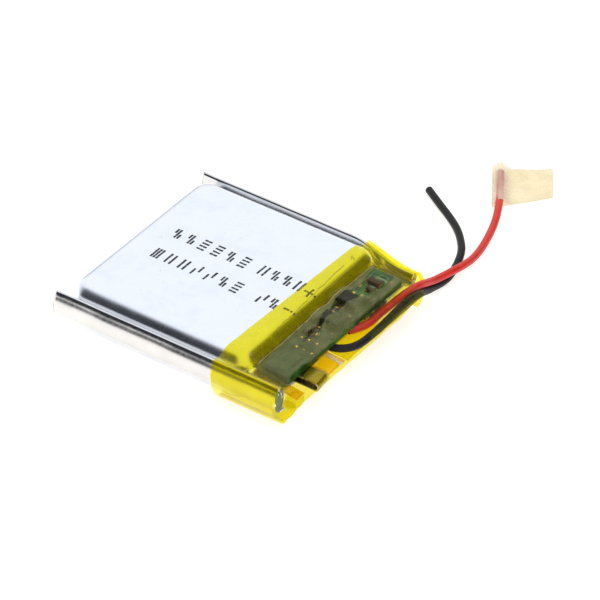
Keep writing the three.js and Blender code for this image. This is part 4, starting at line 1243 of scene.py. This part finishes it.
# ------------------------------------------------------------------ CAD pieces kept as they are
KEPT = {
    "anode_sheet": M_COPPER, "cathode_sheet": M_CATHODE, "separator_inner": M_SEPARATOR, "separator_outer": M_SEPARATOR,
    "winding_tape": M_GREEN_TAPE, "negative_tab_sealant": M_SEALANT, "positive_tab_sealant": M_SEALANT,
    "negative_weld_plate": M_NICKEL, "positive_weld_plate": M_NICKEL, "board_foam_pad": M_FOAM,
    "protection_ic": M_CHIP, "dual_mosfet": M_CHIP, "filter_resistor": M_CERAMIC, "filter_capacitor": M_CERAMIC, "sense_resistor": M_CERAMIC,
    "red_lead_core": M_STRANDS, "black_lead_core": M_STRANDS, "positive_solder": M_SOLDER, "negative_solder": M_SOLDER,
}
for n, m in KEPT.items():
    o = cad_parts[n]
    o.data.materials.clear()
    o.data.materials.append(m)

# ------------------------------------------------------------------ floor and light
def floor_material():
    t = Tree("studio_floor")
    a = t.noise(9, 3)
    col = t.ramp(a, [(0.3, (0.48, 0.47, 0.455)), (0.7, (0.50, 0.49, 0.475))])
    n = t.bump(t.noise(1400, 2), 0.05, 5e-6)
    return t.done(t.principled(col, t.rng(a, 0.3, 0.7, 0.7, 0.8), 0.0, n, Emission_Color=(1.0, 0.965, 0.92, 1), Emission_Strength=0.72))


me = bpy.data.meshes.new("floor")
R = 0.9
me.from_pydata([(R * math.cos(2 * math.pi * i / 64), R * math.sin(2 * math.pi * i / 64), 0) for i in range(64)], [], [tuple(range(64))])
me.materials.append(floor_material())
floor = bpy.data.objects.new("floor", me)
bpy.context.scene.collection.objects.link(floor)
floor.location.z = -1e-5

# Soft white all round and overhead, with a dark patch of room low in front, one to the right and a faint one behind.
world = bpy.data.worlds.new("studio")
bpy.context.scene.world = world
world.use_nodes = True
wt = world.node_tree
wt.nodes.clear()


def wn(kind, **props):
    node = wt.nodes.new(kind)
    for k, v in props.items():
        setattr(node, k, v)
    return node


def wmath(op, a, b):
    m = wn("ShaderNodeMath", operation=op)
    for i, v in enumerate((a, b)):
        if isinstance(v, (int, float)):
            m.inputs[i].default_value = v
        else:
            wt.links.new(v, m.inputs[i])
    return m.outputs[0]


wo = wn("ShaderNodeOutputWorld")
bg = wn("ShaderNodeBackground")
tc = wn("ShaderNodeTexCoord")


def lobe(direction, a=0.72, b=0.885, top=1.0):
    """A soft dark patch round a direction, between two cosines."""
    n = wn("ShaderNodeVectorMath", operation="DOT_PRODUCT")
    wt.links.new(tc.outputs["Generated"], n.inputs[0])
    n.inputs[1].default_value = Vector(direction).normalized()
    m = wn("ShaderNodeMapRange", interpolation_type="SMOOTHSTEP")
    m.inputs["From Min"].default_value = a
    m.inputs["From Max"].default_value = b
    m.inputs["To Max"].default_value = top
    wt.links.new(n.outputs["Value"], m.inputs["Value"])
    return m.outputs["Result"]


dark = wmath("MAXIMUM", wmath("MAXIMUM", lobe((-0.46, -0.75, 0.42), 0.62, 0.88), lobe((0.66, 0.65, 0.30))), lobe((-0.75, 0.65, 0.12), 0.95, 0.995, 0.5))
light = wmath("SUBTRACT", 1.0, dark)
mixc = wn("ShaderNodeMix", data_type="RGBA")
wt.links.new(light, mixc.inputs[0])
mixc.inputs[6].default_value = (0.030, 0.034, 0.042, 1)
mixc.inputs[7].default_value = (1.04, 1.075, 1.14, 1)
wt.links.new(mixc.outputs[2], bg.inputs["Color"])
bg.inputs["Strength"].default_value = 1.0
wt.links.new(bg.outputs[0], wo.inputs["Surface"])

key_data = bpy.data.lights.new("overhead_soft", "SUN")
key_data.energy = 1.5
key_data.angle = math.radians(120)
key_data.color = (1.0, 0.985, 0.96)
key = bpy.data.objects.new("overhead_soft", key_data)
key.rotation_euler = (math.radians(12), math.radians(-10), 0)
bpy.context.scene.collection.objects.link(key)
key.visible_glossy = False
